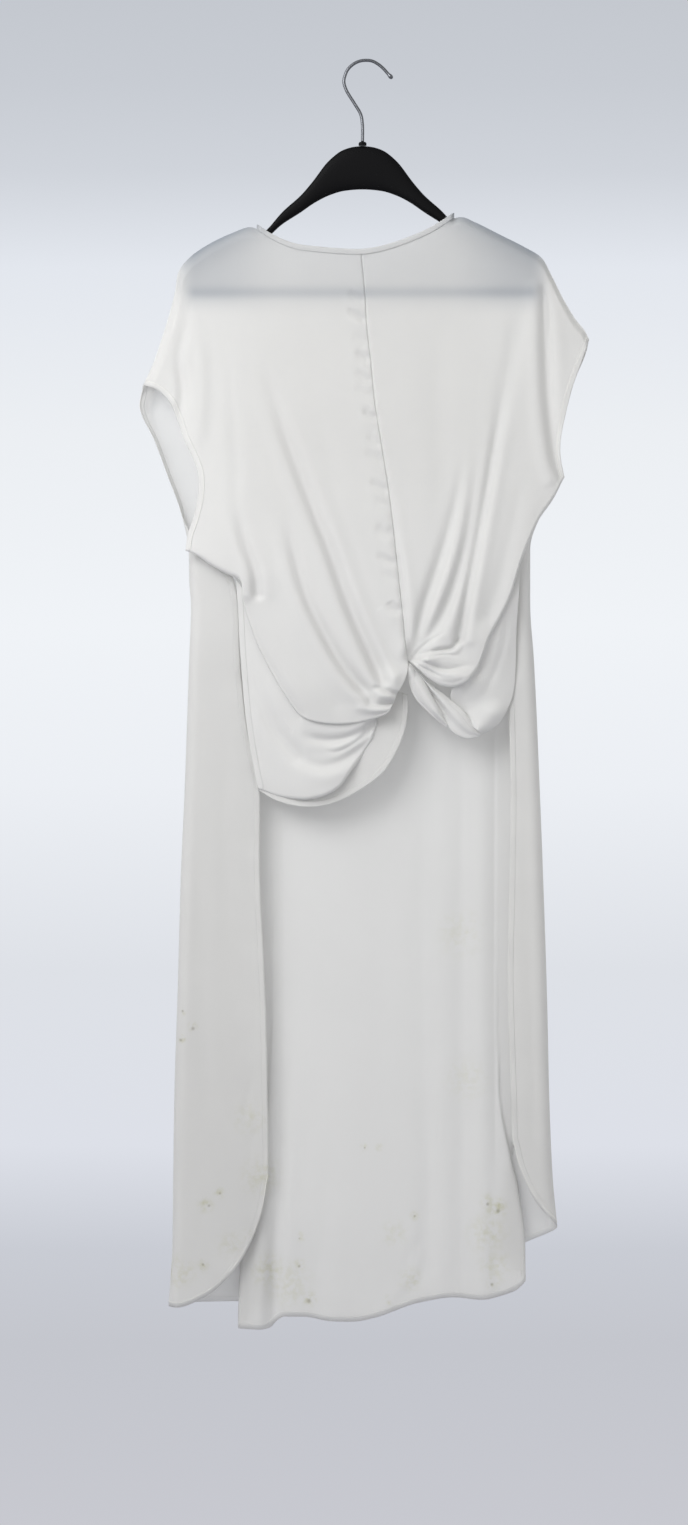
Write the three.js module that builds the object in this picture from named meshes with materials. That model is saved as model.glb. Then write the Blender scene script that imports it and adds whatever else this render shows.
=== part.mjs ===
// Sleeveless tunic on its hanger: a short front in two halves that cross in a twist,
// and one long back panel whose sides wrap round to the front.
// Millimetres. The origin is the hook's bearing point, +Z up, the front faces -Y.
import * as THREE from 'three';

const CLOTH = 1.6;          // wall of every cloth solid
const BINDING = 2.2;        // wall of the neck binding
const BINDING_WIDTH = 6;
const SEAM_GAP = 0.3;       // space between two pieces that are sewn together
const HANGER_X = -4.4;      // the hanger's middle
const HANGER_HALF = 4.5;    // half the thickness of its arms
const BAR_Z = -251;
const BAR_RADIUS = 3;
const HOOK_RADIUS = 1.75;
const SHOULDER_RISE = 11;   // how far below the shoulder the cloth stands clear of the arms
const FRONT_CLEAR = 7.4;

// ---------------------------------------------------------------- tables

// Hook centreline from the boss up to the open end.
const HOOK = [
  { x: -4.4, z: -88.6 }, { x: -4.6, z: -68 }, { x: -6.5, z: -57.5 },
  { x: -13.5, z: -45.5 }, { x: -22.4, z: -30.8 }, { x: -24.9, z: -22 },
  { x: -23.8, z: -15.4 }, { x: -20.6, z: -8.4 }, { x: -14.4, z: -2.4 },
  { x: -7, z: 1 }, { x: 0, z: 1.75 }, { x: 6, z: 1 }, { x: 12, z: -2 },
  { x: 18.4, z: -7.2 }, { x: 23.2, z: -12.6 }, { x: 28.4, z: -18.3 },
];

// Half of the arms: distance from the middle, top and bottom edge.
const ARM = [
  { out: 0, top: -92.4, bottom: -140.2 },
  { out: 12, top: -93.4, bottom: -140.8 },
  { out: 25, top: -98, bottom: -142.6 },
  { out: 40, top: -111, bottom: -148 },
  { out: 54, top: -130.9, bottom: -155.5 },
  { out: 68, top: -147.4, bottom: -165.6 },
  { out: 88, top: -164.5, bottom: -178 },
  { out: 96, top: -174, bottom: -185 },
  { out: 103, top: -183, bottom: -192.5 },
  { out: 113, top: -191.5, bottom: -201 },
  { out: 142, top: -202, bottom: -215.5 },
  { out: 170, top: -211, bottom: -228 },
  { out: 185.5, top: -222, bottom: -240 },
  { out: 186, top: -222.4, bottom: -256 },
  { out: 195, top: -232, bottom: -256.5 },
  { out: 198, top: -237, bottom: -253 },
];

// Shoulder and sleeve line from the sleeve end up to the neck point.
const SHOULDER_LEFT = [
  { x: -245.5, z: -355.3 }, { x: -234.3, z: -331.1 }, { x: -226, z: -306.9 },
  { x: -217.3, z: -279.4 }, { x: -210.2, z: -251.9 }, { x: -206.7, z: -231 },
  { x: -194.7, z: -215.6 }, { x: -174.4, z: -201.3 }, { x: -146.9, z: -188.1 },
  { x: -122.7, z: -177.7 },
];
const SHOULDER_RIGHT = [
  { x: 244.8, z: -305.6 }, { x: 239.3, z: -294.8 }, { x: 229.4, z: -282.7 },
  { x: 215.1, z: -258.5 }, { x: 203, z: -234.3 }, { x: 192.4, z: -215.6 },
  { x: 174.4, z: -204.3 }, { x: 146.9, z: -190.4 }, { x: 119.4, z: -176.7 },
  { x: 98.5, z: -165 },
];
const NECK = [
  { x: -122.7, z: -177.7 }, { x: -105, z: -189.8 }, { x: -80.9, z: -200.2 },
  { x: -53.4, z: -204.2 }, { x: -6.1, z: -206.8 }, { x: 16, z: -203.5 },
  { x: 43.5, z: -194.7 }, { x: 71, z: -182.6 }, { x: 98.5, z: -165 },
];
const CENTRE_SEAM = [
  { x: -6.1, z: -206.8 }, { x: -1.7, z: -255.2 }, { x: 0.1, z: -289.3 },
  { x: 4.6, z: -331.1 }, { x: 9, z: -375 }, { x: 16, z: -420.2 },
  { x: 22.6, z: -462 }, { x: 27.7, z: -500 }, { x: 32.9, z: -547.8 },
  { x: 38.5, z: -600 }, { x: 42.5, z: -647 },
];
const ARMHOLE_LEFT = [
  { x: -245.5, z: -355.3 }, { x: -229.4, z: -361.9 }, { x: -215.1, z: -376.2 },
  { x: -206.7, z: -396.6 }, { x: -199.7, z: -416.9 }, { x: -189.8, z: -437.8 },
  { x: -184.3, z: -455.4 }, { x: -184.3, z: -479.6 }, { x: -189.8, z: -503.8 },
  { x: -196, z: -522 }, { x: -196, z: -534 },
];
const ARMHOLE_RIGHT = [
  { x: 244.8, z: -305.6 }, { x: 236, z: -331.1 }, { x: 226.1, z: -358.6 },
  { x: 217.3, z: -392.7 }, { x: 212.4, z: -420.2 }, { x: 213, z: -437.8 },
  { x: 216.5, z: -455 },
];

// Lower edge of each front half where it is folded under, side to middle.
const DRAPE_LEFT = [
  { x: -196, z: -534 }, { x: -183, z: -540 }, { x: -168, z: -549 },
  { x: -152, z: -556 }, { x: -136, z: -562 }, { x: -133, z: -590 },
  { x: -122, z: -625 }, { x: -106, z: -655 }, { x: -88, z: -685 },
  { x: -72, z: -711 }, { x: -52, z: -721 }, { x: -27, z: -724 },
  { x: 2, z: -720.5 }, { x: 22, z: -712 }, { x: 30, z: -700 },
];
const DRAPE_RIGHT = [
  { x: 216.5, z: -455 }, { x: 202, z: -480 }, { x: 187, z: -503 },
  { x: 172, z: -545 }, { x: 161, z: -577 }, { x: 146, z: -603 },
  { x: 129, z: -624 }, { x: 112, z: -634 }, { x: 90, z: -637 },
  { x: 64, z: -639 }, { x: 42.5, z: -647 },
];
const LOBE_TOP = [
  { x: -143, z: -582 }, { x: -124, z: -604 }, { x: -104, z: -636 },
  { x: -84, z: -668 }, { x: -60, z: -694 }, { x: -26, z: -700 },
  { x: 6, z: -694 }, { x: 24, z: -684 },
];
const LOBE_HEM = [
  { x: -117.6, z: -799.7 }, { x: -99.6, z: -810.7 }, { x: -79.8, z: -818 },
  { x: -57.8, z: -819.2 }, { x: -38, z: -814 }, { x: -18.2, z: -805.2 },
  { x: 1.7, z: -794.2 }, { x: 19.3, z: -782.1 }, { x: 31.4, z: -766.7 },
  { x: 39.6, z: -746.9 }, { x: 43.5, z: -727.1 }, { x: 44, z: -704 },
];
const SIDE_SEAM_LEFT = [
  { x: -143, z: -582 }, { x: -140.4, z: -597.3 }, { x: -138.2, z: -655.6 },
  { x: -130.5, z: -729.3 }, { x: -120.6, z: -778.8 }, { x: -117.6, z: -799.7 },
];
// The right half's loop: inner and outer edge from the side seam round to the twist.
const LOOP = [
  { inX: 150, inZ: -560, outX: 167, outZ: -556 },
  { inX: 138, inZ: -594, outX: 165, outZ: -592 },
  { inX: 122, inZ: -628, outX: 164.5, outZ: -630 },
  { inX: 112, inZ: -658, outX: 163.4, outZ: -665 },
  { inX: 102, inZ: -680, outX: 160, outZ: -697 },
  { inX: 96, inZ: -694, outX: 151, outZ: -719 },
  { inX: 97, inZ: -704, outX: 138, outZ: -734 },
];

// How far the cloth stands forward of the hanger's plane, down the front.
const BELLY = [
  { z: -200, left: 0, right: 0 }, { z: -300, left: 3, right: 3 },
  { z: -400, left: 9, right: 9 }, { z: -500, left: 16, right: 16 },
  { z: -600, left: 20, right: 20 }, { z: -740, left: 21, right: 21 },
];

// Folds: start, middle and end of each; depth back into the body (ridges negative), half width,
// and the share of the depth at the start and the end.
const FOLDS_LEFT = [
  { x0: -115, z0: -343, x1: -62, z1: -484, x2: 16, z2: -676, depth: 7, width: 13, from: 0.3, to: 1 },
  { x0: -100, z0: -470, x1: -52, z1: -614, x2: 4, z2: -698, depth: 7, width: 13, from: 0.3, to: 1 },
  { x0: -92, z0: -372, x1: -38, z1: -505, x2: 30, z2: -650, depth: -5, width: 14, from: 0.3, to: 1 },
  { x0: -122, z0: -400, x1: -82, z1: -540, x2: -4, z2: -680, depth: -5, width: 14, from: 0.2, to: 1 },
  { x0: -130, z0: -520, x1: -84, z1: -640, x2: -14, z2: -706, depth: -5, width: 15, from: 0.3, to: 1 },
  { x0: -145, z0: -480, x1: -134, z1: -530, x2: -122, z2: -590, depth: 6, width: 11, from: 0.2, to: 1 },
  { x0: -198, z0: -262, x1: -205, z1: -325, x2: -200, z2: -410, depth: 5, width: 10, from: 0.8, to: 0.3 },
  { x0: -180, z0: -290, x1: -180, z1: -360, x2: -178, z2: -440, depth: -5, width: 13, from: 0.4, to: 0.6 },
];
const FOLDS_RIGHT = [
  { x0: 118, z0: -425, x1: 92, z1: -535, x2: 47, z2: -648, depth: 8, width: 13, from: 0.3, to: 1 },
  { x0: 156, z0: -350, x1: 116, z1: -515, x2: 98, z2: -634, depth: 8, width: 13, from: 0.3, to: 1 },
  { x0: 92, z0: -400, x1: 68, z1: -530, x2: 46, z2: -630, depth: -4, width: 13, from: 0.2, to: 1 },
  { x0: 140, z0: -390, x1: 106, z1: -520, x2: 74, z2: -636, depth: -5, width: 13, from: 0.2, to: 1 },
  { x0: 176, z0: -400, x1: 140, z1: -520, x2: 122, z2: -616, depth: -5, width: 15, from: 0.2, to: 1 },
  { x0: 197, z0: -252, x1: 199, z1: -370, x2: 214, z2: -452, depth: 5, width: 11, from: 0.6, to: 0.8 },
];

// Level sections of the back panel. left and right: where it folds round to the front;
// wrap: how much of it lies in front, measured back from that fold; tuck: the overlap of the
// S-shaped folds beside the middle (negative: none yet); middle: depth of the middle part.
const BACK = [
  { z: -150, left: -246, wrapL: 0, right: 245, wrapR: 0, tuckL: -30, tuckR: -30, middle: 18, wave: 0 },
  { z: -305, left: -246, wrapL: 0, right: 244, wrapR: 0, tuckL: -30, tuckR: -30, middle: 18, wave: 0 },
  { z: -355, left: -246, wrapL: 0, right: 227, wrapR: 0, tuckL: -30, tuckR: -30, middle: 18, wave: 0 },
  { z: -376, left: -250, wrapL: 0, right: 221, wrapR: 0, tuckL: -30, tuckR: -30, middle: 18, wave: 0 },
  { z: -417, left: -233, wrapL: 0, right: 211, wrapR: 0, tuckL: -30, tuckR: -30, middle: 18, wave: 0 },
  { z: -455, left: -219, wrapL: 0, right: 214, wrapR: 0, tuckL: -30, tuckR: -30, middle: 18, wave: 0 },
  { z: -493, left: -205, wrapL: 0, right: 194, wrapR: 12, tuckL: -30, tuckR: -30, middle: 18, wave: 0 },
  { z: -535, left: -196, wrapL: 6, right: 180, wrapR: 22, tuckL: -30, tuckR: -30, middle: 18, wave: 0 },
  { z: -597, left: -193, wrapL: 52, right: 180, wrapR: 28, tuckL: -30, tuckR: -30, middle: 18, wave: 1 },
  { z: -656, left: -195, wrapL: 56, right: 184, wrapR: 30, tuckL: -30, tuckR: -30, middle: 18, wave: 2 },
  { z: -729, left: -197.5, wrapL: 66, right: 187.6, wrapR: 31, tuckL: -30, tuckR: -30, middle: 18, wave: 3 },
  { z: -800, left: -200, wrapL: 82.5, right: 190.5, wrapR: 32.5, tuckL: -30, tuckR: -30, middle: 18, wave: 3 },
  { z: -890, left: -204, wrapL: 86.8, right: 194, wrapR: 37, tuckL: -30, tuckR: -30, middle: 17, wave: 4 },
  { z: -1031, left: -208, wrapL: 97, right: 198.6, wrapR: 43.5, tuckL: -30, tuckR: -30, middle: 15, wave: 4 },
  { z: -1138, left: -211.4, wrapL: 102.8, right: 201, wrapR: 42.5, tuckL: -24, tuckR: -24, middle: 12, wave: 5 },
  { z: -1225, left: -212.6, wrapL: 105.2, right: 204.6, wrapR: 44.5, tuckL: 8, tuckR: 6, middle: 7, wave: 5 },
  { z: -1300, left: -213.5, wrapL: 106.5, right: 211, wrapR: 51, tuckL: 28, tuckR: 22, middle: 4, wave: 5 },
  { z: -1400, left: -219, wrapL: 112, right: 213, wrapR: 53, tuckL: 34, tuckR: 26, middle: 4, wave: 5 },
];
const WRAP_DEPTH = 8;       // the wrapped sides stand this far in front of the hanger's plane
const REAR_DEPTH = 18;      // and the back hangs this far behind it
const TUCK_LEFT = -120;     // middle of the left and the right S-fold
const TUCK_RIGHT = 159;
// Hem: share of the way round the panel, and its height there.
const HEM = [
  { share: 0, z: -1225 }, { share: 0.01, z: -1262 }, { share: 0.028, z: -1300 },
  { share: 0.052, z: -1330 }, { share: 0.088, z: -1356 }, { share: 0.13, z: -1369 },
  { share: 0.165, z: -1368 }, { share: 0.26, z: -1366 }, { share: 0.33, z: -1368 },
  { share: 0.352, z: -1385 }, { share: 0.372, z: -1394 }, { share: 0.395, z: -1388 },
  { share: 0.42, z: -1377 }, { share: 0.455, z: -1383 }, { share: 0.5, z: -1386 },
  { share: 0.56, z: -1382 }, { share: 0.62, z: -1366 }, { share: 0.67, z: -1359.5 },
  { share: 0.71, z: -1362 }, { share: 0.755, z: -1354 }, { share: 0.79, z: -1330 },
  { share: 0.83, z: -1314 }, { share: 0.87, z: -1300 }, { share: 0.91, z: -1287 },
  { share: 0.945, z: -1270 }, { share: 0.97, z: -1245 }, { share: 0.988, z: -1215 },
  { share: 1, z: -1186 },
];
// Upright waves in the middle of the back: place, half width, height towards the front.
const WAVES = [
  { x: 92, width: 9, height: -0.7 }, { x: 106, width: 8, height: 0.9 },
  { x: 120, width: 8, height: -0.8 }, { x: 137, width: 9, height: 1.2 },
  { x: -60, width: 30, height: 0.6 }, { x: 20, width: 34, height: -0.5 },
];

// ---------------------------------------------------------------- helpers

const smooth = (t) => {
  const k = Math.min(1, Math.max(0, t));
  return k * k * (3 - 2 * k);
};
const spline = (rows) => new THREE.CatmullRomCurve3(
  rows.map((row) => new THREE.Vector3(row.x, row.y ?? 0, row.z)), false, 'centripetal');

// One column of a table at a value of another column, joined by a smooth curve.
function column(rows, key, name, at) {
  const down = rows[0][key] > rows[rows.length - 1][key];
  const k = down ? -1 : 1;
  const x = rows.map((row) => k * row[key]);
  const y = rows.map((row) => row[name]);
  const v = Math.min(x[x.length - 1], Math.max(x[0], k * at));
  let i = 0;
  while (i < x.length - 2 && v > x[i + 1]) {
    i += 1;
  }
  const slope = (j) => {
    if (j === 0 || j === x.length - 1) {
      return 0;
    }
    const a = (y[j] - y[j - 1]) / (x[j] - x[j - 1]);
    const b = (y[j + 1] - y[j]) / (x[j + 1] - x[j]);
    return a * b <= 0 ? 0 : (2 * a * b) / (a + b);
  };
  const h = x[i + 1] - x[i];
  const t = (v - x[i]) / h;
  const a = y[i] * (1 + 2 * t) * (1 - t) * (1 - t);
  const b = y[i + 1] * t * t * (3 - 2 * t);
  const c = slope(i) * h * t * (1 - t) * (1 - t);
  const d = slope(i + 1) * h * t * t * (t - 1);
  return a + b + c + d;
}

// A closed wall of even thickness whose middle surface is the grid of points.
function wall(grid, thickness) {
  const rows = grid.length;
  const cols = grid[0].length;
  const points = [];
  for (const side of [0.5, -0.5]) {
    for (let r = 0; r < rows; r += 1) {
      for (let c = 0; c < cols; c += 1) {
        const along = grid[r][Math.min(c + 1, cols - 1)].clone().sub(grid[r][Math.max(c - 1, 0)]);
        const down = grid[Math.min(r + 1, rows - 1)][c].clone().sub(grid[Math.max(r - 1, 0)][c]);
        const normal = along.cross(down).normalize();
        points.push(grid[r][c].clone().addScaledVector(normal, side * thickness));
      }
    }
  }
  const at = (s, r, c) => s * rows * cols + r * cols + c;
  const index = [];
  const quad = (a, b, c, d) => index.push(a, b, c, a, c, d);
  for (let r = 0; r < rows - 1; r += 1) {
    for (let c = 0; c < cols - 1; c += 1) {
      quad(at(0, r, c), at(0, r, c + 1), at(0, r + 1, c + 1), at(0, r + 1, c));
      quad(at(1, r, c), at(1, r + 1, c), at(1, r + 1, c + 1), at(1, r, c + 1));
    }
  }
  for (let c = 0; c < cols - 1; c += 1) {
    quad(at(0, 0, c), at(1, 0, c), at(1, 0, c + 1), at(0, 0, c + 1));
    quad(at(0, rows - 1, c), at(0, rows - 1, c + 1), at(1, rows - 1, c + 1), at(1, rows - 1, c));
  }
  for (let r = 0; r < rows - 1; r += 1) {
    quad(at(0, r, 0), at(0, r + 1, 0), at(1, r + 1, 0), at(1, r, 0));
    quad(at(0, r, cols - 1), at(1, r, cols - 1), at(1, r + 1, cols - 1), at(0, r + 1, cols - 1));
  }
  return solid(points, index);
}

// A closed solid from shared points; turned the right way out by its volume.
function solid(points, index) {
  let volume = 0;
  for (let i = 0; i < index.length; i += 3) {
    volume += points[index[i]].dot(points[index[i + 1]].clone().cross(points[index[i + 2]]));
  }
  if (volume < 0) {
    for (let i = 0; i < index.length; i += 3) {
      [index[i + 1], index[i + 2]] = [index[i + 2], index[i + 1]];
    }
  }
  const geometry = new THREE.BufferGeometry();
  const flat = points.flatMap((point) => [point.x, point.y, point.z]);
  geometry.setAttribute('position', new THREE.Float32BufferAttribute(flat, 3));
  geometry.setIndex(index);
  geometry.computeVertexNormals();
  return geometry;
}

// A solid through closed rings, capped at both ends.
function loft(rings) {
  const n = rings[0].length;
  const points = rings.flat();
  const index = [];
  for (let r = 0; r < rings.length - 1; r += 1) {
    for (let i = 0; i < n; i += 1) {
      const a = r * n + i;
      const b = r * n + (i + 1) % n;
      index.push(a, b, b + n, a, b + n, a + n);
    }
  }
  const last = (rings.length - 1) * n;
  for (let i = 1; i < n - 1; i += 1) {
    index.push(0, i + 1, i);
    index.push(last, last + i, last + i + 1);
  }
  return solid(points, index);
}

// A surface between four edges: u runs side to middle, v runs down.
function patch(top, bottom, left, right, u, v) {
  const a = top.getPointAt(u).multiplyScalar(1 - v);
  const b = bottom.getPointAt(u).multiplyScalar(v);
  const c = left.getPointAt(v).multiplyScalar(1 - u);
  const d = right.getPointAt(v).multiplyScalar(u);
  const p = a.add(b).add(c).add(d);
  p.addScaledVector(top.getPointAt(0), -(1 - u) * (1 - v));
  p.addScaledVector(top.getPointAt(1), -u * (1 - v));
  p.addScaledVector(bottom.getPointAt(0), -(1 - u) * v);
  p.addScaledVector(bottom.getPointAt(1), -u * v);
  return p;
}

// Depth of all folds of a table at a place on the front.
function foldDepth(folds, x, z) {
  let sum = 0;
  for (const fold of folds) {
    let near = Infinity;
    let place = 0;
    for (let i = 0; i <= 40; i += 1) {
      const t = i / 40;
      const a = 2 * (t - 0.5) * (t - 1);
      const b = 4 * t * (1 - t);
      const c = 2 * t * (t - 0.5);
      const far = Math.hypot(x - a * fold.x0 - b * fold.x1 - c * fold.x2,
        z - a * fold.z0 - b * fold.z1 - c * fold.z2);
      if (far < near) {
        near = far;
        place = t;
      }
    }
    const strength = fold.from + (fold.to - fold.from) * place;
    const side = near / fold.width;
    sum += fold.depth * strength * Math.exp(-side * side);
  }
  return sum;
}

const seamX = (z) => column(CENTRE_SEAM, 'z', 'x', z);

// Share of the way that the neck edge has opened round the hanger, at its distance from the
// neck point; 0 along the shoulder.
const neckOpen = (x) => smooth(Math.min(x - NECK[0].x + 2, NECK[8].x + 2 - x) / 12);

// How far forward a front half stands, at a place, at its distance below the top edge and
// for the top edge's own place.
function frontDepth(x, z, drop, topX, folds, side) {
  const shut = (1 - neckOpen(topX)) * (1 - smooth(drop / SHOULDER_RISE));
  const stand = 1.15 + (FRONT_CLEAR - 1.15) * (1 - shut);
  const outer = smooth((Math.abs(x) - 150) / 90);
  const belly = column(BELLY, 'z', side, z) * (1 - 0.55 * outer) * smooth(drop / 60);
  const clear = smooth((drop - SHOULDER_RISE) / 30) * smooth(Math.abs(x - seamX(z)) / 22);
  return stand + belly - foldDepth(folds, x, z) * clear;
}

// Rows that carry on from the last row of a grid: the cloth folded under at its lower edge.
function foldUnder(grid, radiusAt) {
  const last = grid[grid.length - 1];
  const before = grid[grid.length - 2];
  for (const angle of [40, 85, 130, 172]) {
    const turn = THREE.MathUtils.degToRad(angle);
    grid.push(last.map((point, c) => {
      const out = point.clone().sub(before[c]);
      out.y = 0;
      out.normalize();
      const radius = radiusAt(c / (last.length - 1));
      const next = point.clone().addScaledVector(out, radius * Math.sin(turn));
      next.y += radius * (1 - Math.cos(turn));
      return next;
    }));
  }
  return grid;
}

// ---------------------------------------------------------------- cloth

// One front half: the cloth from the shoulder and neck down to where it is folded under.
function bodice(shoulder, neck, armhole, lower, seam, folds, side, cols, rows) {
  const topRows = [...shoulder.slice(0, -1), ...neck];
  const top = spline(topRows);
  const edges = [top, spline(lower), spline(armhole), spline(seam)];
  const towards = side === 'left' ? -1 : 1;
  const grid = [];
  for (let r = 0; r <= rows; r += 1) {
    const v = (r / rows) ** 1.35;
    const line = [];
    for (let c = 0; c <= cols; c += 1) {
      const u = c / cols;
      const start = patch(...edges, u, 0);
      const point = patch(...edges, u, v);
      const drop = start.distanceTo(point);
      point.y = -frontDepth(point.x, point.z, drop, start.x, folds, side);
      point.x += towards * 2 * SEAM_GAP * u;
      line.push(point);
    }
    grid.push(line);
  }
  return grid;
}

const lowered = (rows, by) => rows.map((row) => ({ x: row.x, z: row.z - by }));
const NECK_EDGE = lowered(NECK, BINDING_WIDTH + 4 * SEAM_GAP);
const neckLeft = NECK_EDGE.filter((row) => row.x < -6);
neckLeft[0] = { x: NECK[0].x - 4.5, z: NECK[0].z - 4.9 };
const neckRight = NECK_EDGE.filter((row) => row.x > -7).reverse();
neckRight[0] = { x: NECK[8].x + 4.5, z: NECK[8].z - 6 };
const seamTop = { x: -6.1, z: -206.8 - BINDING_WIDTH - 4 * SEAM_GAP };
const seamRows = [seamTop, ...CENTRE_SEAM.slice(1)];
const seamLeft = [...seamRows, { x: 38, z: -676 }, { x: 30, z: -700 }];

const leftGrid = bodice(SHOULDER_LEFT, neckLeft, ARMHOLE_LEFT, DRAPE_LEFT, seamLeft,
  FOLDS_LEFT, 'left', 22, 20);
foldUnder(leftGrid, (u) => 2.4 + 4 * smooth(u / 0.08) - 3 * smooth((u - 0.86) / 0.14));
const rightGrid = bodice(SHOULDER_RIGHT, neckRight, ARMHOLE_RIGHT, DRAPE_RIGHT, seamRows,
  FOLDS_RIGHT, 'right', 18, 20);
foldUnder(rightGrid, (u) => 2.4 + 4 * smooth(u / 0.08) - 4 * smooth((u - 0.45) / 0.2));

// The left half below its fold: it hangs from the side seam and runs up into the twist.
function lobe(cols, rows) {
  const edges = [spline(LOBE_TOP), spline(LOBE_HEM), spline(SIDE_SEAM_LEFT),
    spline([{ x: 24, z: -684 }, { x: 36, z: -694 }, { x: 44, z: -704 }])];
  const grid = [];
  for (let r = 0; r <= rows; r += 1) {
    const line = [];
    for (let c = 0; c <= cols; c += 1) {
      const u = c / cols;
      const v = r / rows;
      const point = patch(...edges, u, v);
      const belly = Math.sin(Math.PI * smooth(u * 1.05)) * (0.5 + 11 * smooth(v * 1.5 - 0.25));
      point.y = -(10 + belly * smooth(u / 0.25));
      line.push(point);
    }
    grid.push(line);
  }
  return grid;
}

// The right half's loop: down from the side seam, round and back up to the twist.
function loop(cols, rows) {
  const inner = spline(LOOP.map((row) => ({ x: row.inX, z: row.inZ })));
  const outer = spline(LOOP.map((row) => ({ x: row.outX, z: row.outZ })));
  const grid = [];
  for (let r = 0; r <= rows; r += 1) {
    const v = r / rows;
    const a = inner.getPointAt(v);
    const b = outer.getPointAt(v);
    const line = [];
    for (let c = 0; c <= cols; c += 1) {
      const u = c / cols;
      const point = a.clone().lerp(b, u);
      point.y = -(10.2 + (1.5 + 4 * smooth(v * 2)) * Math.sin(Math.PI * u));
      line.push(point);
    }
    grid.push(line);
  }
  return grid;
}

// A strip rolled along a path: a channel whose open side faces back.
function channel(path, rows, cols, spread) {
  const curve = new THREE.CatmullRomCurve3(
    path.map((row) => new THREE.Vector3(row.x, row.y, row.z)), false, 'centripetal');
  const grid = [];
  for (let r = 0; r <= rows; r += 1) {
    const t = r / rows;
    const centre = curve.getPoint(t);
    const along = curve.getTangent(t);
    const across = new THREE.Vector3(-along.z, 0, along.x).normalize();
    const step = Math.min(path.length - 2, Math.floor(t * (path.length - 1)));
    const part = t * (path.length - 1) - step;
    const radius = path[step].radius + (path[step + 1].radius - path[step].radius) * smooth(part);
    const line = [];
    for (let c = 0; c <= cols; c += 1) {
      const angle = THREE.MathUtils.degToRad(spread * (c / cols - 0.5));
      const point = centre.clone().addScaledVector(across, radius * Math.sin(angle));
      point.y -= radius * Math.cos(angle);
      line.push(point);
    }
    grid.push(line);
  }
  return grid;
}

const FAN = [
  { x: 52, y: -21.7, z: -658.2, radius: 10.5 }, { x: 70, y: -21.7, z: -660, radius: 17.6 },
  { x: 95, y: -21.7, z: -661, radius: 22.7 }, { x: 114, y: -20.9, z: -662, radius: 21.6 },
  { x: 124, y: -18.9, z: -662.2, radius: 15 },
];
const TAIL_UPPER = [
  { x: 61.5, y: -20.8, z: -675.3, radius: 4 }, { x: 79.5, y: -21.8, z: -692.3, radius: 5.2 },
  { x: 98.5, y: -21.8, z: -710.3, radius: 5.2 }, { x: 114.5, y: -19.8, z: -727.3, radius: 5 },
  { x: 122.5, y: -17.8, z: -735.3, radius: 4 },
];
const TAIL_LOWER = [
  { x: 51.6, y: -21, z: -682.2, radius: 4 }, { x: 70.6, y: -22, z: -700.7, radius: 5 },
  { x: 89.6, y: -22, z: -719.2, radius: 5.2 }, { x: 106.1, y: -20, z: -735.7, radius: 5 },
  { x: 114.1, y: -18, z: -743.2, radius: 4 },
];
const KNUCKLE = [
  { x: 36, y: -29.7, z: -664, radius: 6 }, { x: 31, y: -30.7, z: -679, radius: 8 },
  { x: 22, y: -30.7, z: -694, radius: 9 }, { x: 12, y: -28.7, z: -706, radius: 7 },
];

// Level section of the back panel: points from the left edge, round the left fold,
// across the back with its S-folds and round the right fold to the right edge.
function backSection(z) {
  const at = (name) => column(BACK, 'z', name, z);
  const radius = (WRAP_DEPTH + REAR_DEPTH) / 2;
  const mid = radius - WRAP_DEPTH;
  const middle = at('middle');
  const left = at('left');
  const right = at('right');
  const line = [];
  const side = (edge, wrap, k) => {
    const part = [];
    if (wrap > radius) {
      part.push([edge + k * wrap, -WRAP_DEPTH]);
    }
    const start = wrap >= radius ? 90 : THREE.MathUtils.radToDeg(Math.acos(1 - wrap / radius));
    for (let i = 0; i <= 8; i += 1) {
      const angle = THREE.MathUtils.degToRad(start + (-90 - start) * (i / 8));
      part.push([edge + k * radius * (1 - Math.cos(angle)), mid - radius * Math.sin(angle)]);
    }
    return part;
  };
  const tuck = (centre, overlap, k) => {
    const part = [];
    const turn = Math.max(0, overlap) > 0 ? (REAR_DEPTH - middle) / 4 : 0;
    const a = REAR_DEPTH;
    const b = middle;
    const shape = [[0, 0, 0], [0.5, 0.35, 0.06], [1, 1, 0.25], [0.5, 0.35, 0.44], [0, 0, 0.5]];
    for (const [reach, swell, down] of shape) {
      part.push([centre + k * (overlap / 2 + turn * swell * 1.3 * Math.min(1, reach)), a + (b - a) * down]);
    }
    for (const [reach, swell, down] of shape) {
      part.push([centre - k * (overlap / 2 + turn * swell * 1.3 * Math.min(1, reach)), a + (b - a) * (0.5 + down)]);
    }
    return part;
  };
  line.push(...side(left, at('wrapL'), 1));
  line.push(...tuck(TUCK_LEFT, at('tuckL'), 1));
  for (const x of [-80, -40, 0, 40, 80, 92, 99, 106, 113, 120, 128, 137]) {
    let lift = 0;
    for (const wave of WAVES) {
      lift += wave.height * Math.exp(-(((x - wave.x) / wave.width) ** 2));
    }
    line.push([x, middle - lift * at('wave')]);
  }
  line.push(...tuck(TUCK_RIGHT, at('tuckR'), -1).reverse());
  line.push(...side(right, at('wrapR'), -1).reverse());
  return line;
}

function along(line, share) {
  const lengths = [0];
  for (let i = 1; i < line.length; i += 1) {
    const step = Math.hypot(line[i][0] - line[i - 1][0], line[i][1] - line[i - 1][1]);
    lengths.push(lengths[i - 1] + step);
  }
  const want = share * lengths[lengths.length - 1];
  let i = 0;
  while (i < line.length - 2 && want > lengths[i + 1]) {
    i += 1;
  }
  const t = (want - lengths[i]) / (lengths[i + 1] - lengths[i] || 1);
  return [line[i][0] + (line[i + 1][0] - line[i][0]) * t, line[i][1] + (line[i + 1][1] - line[i][1]) * t];
}

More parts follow.
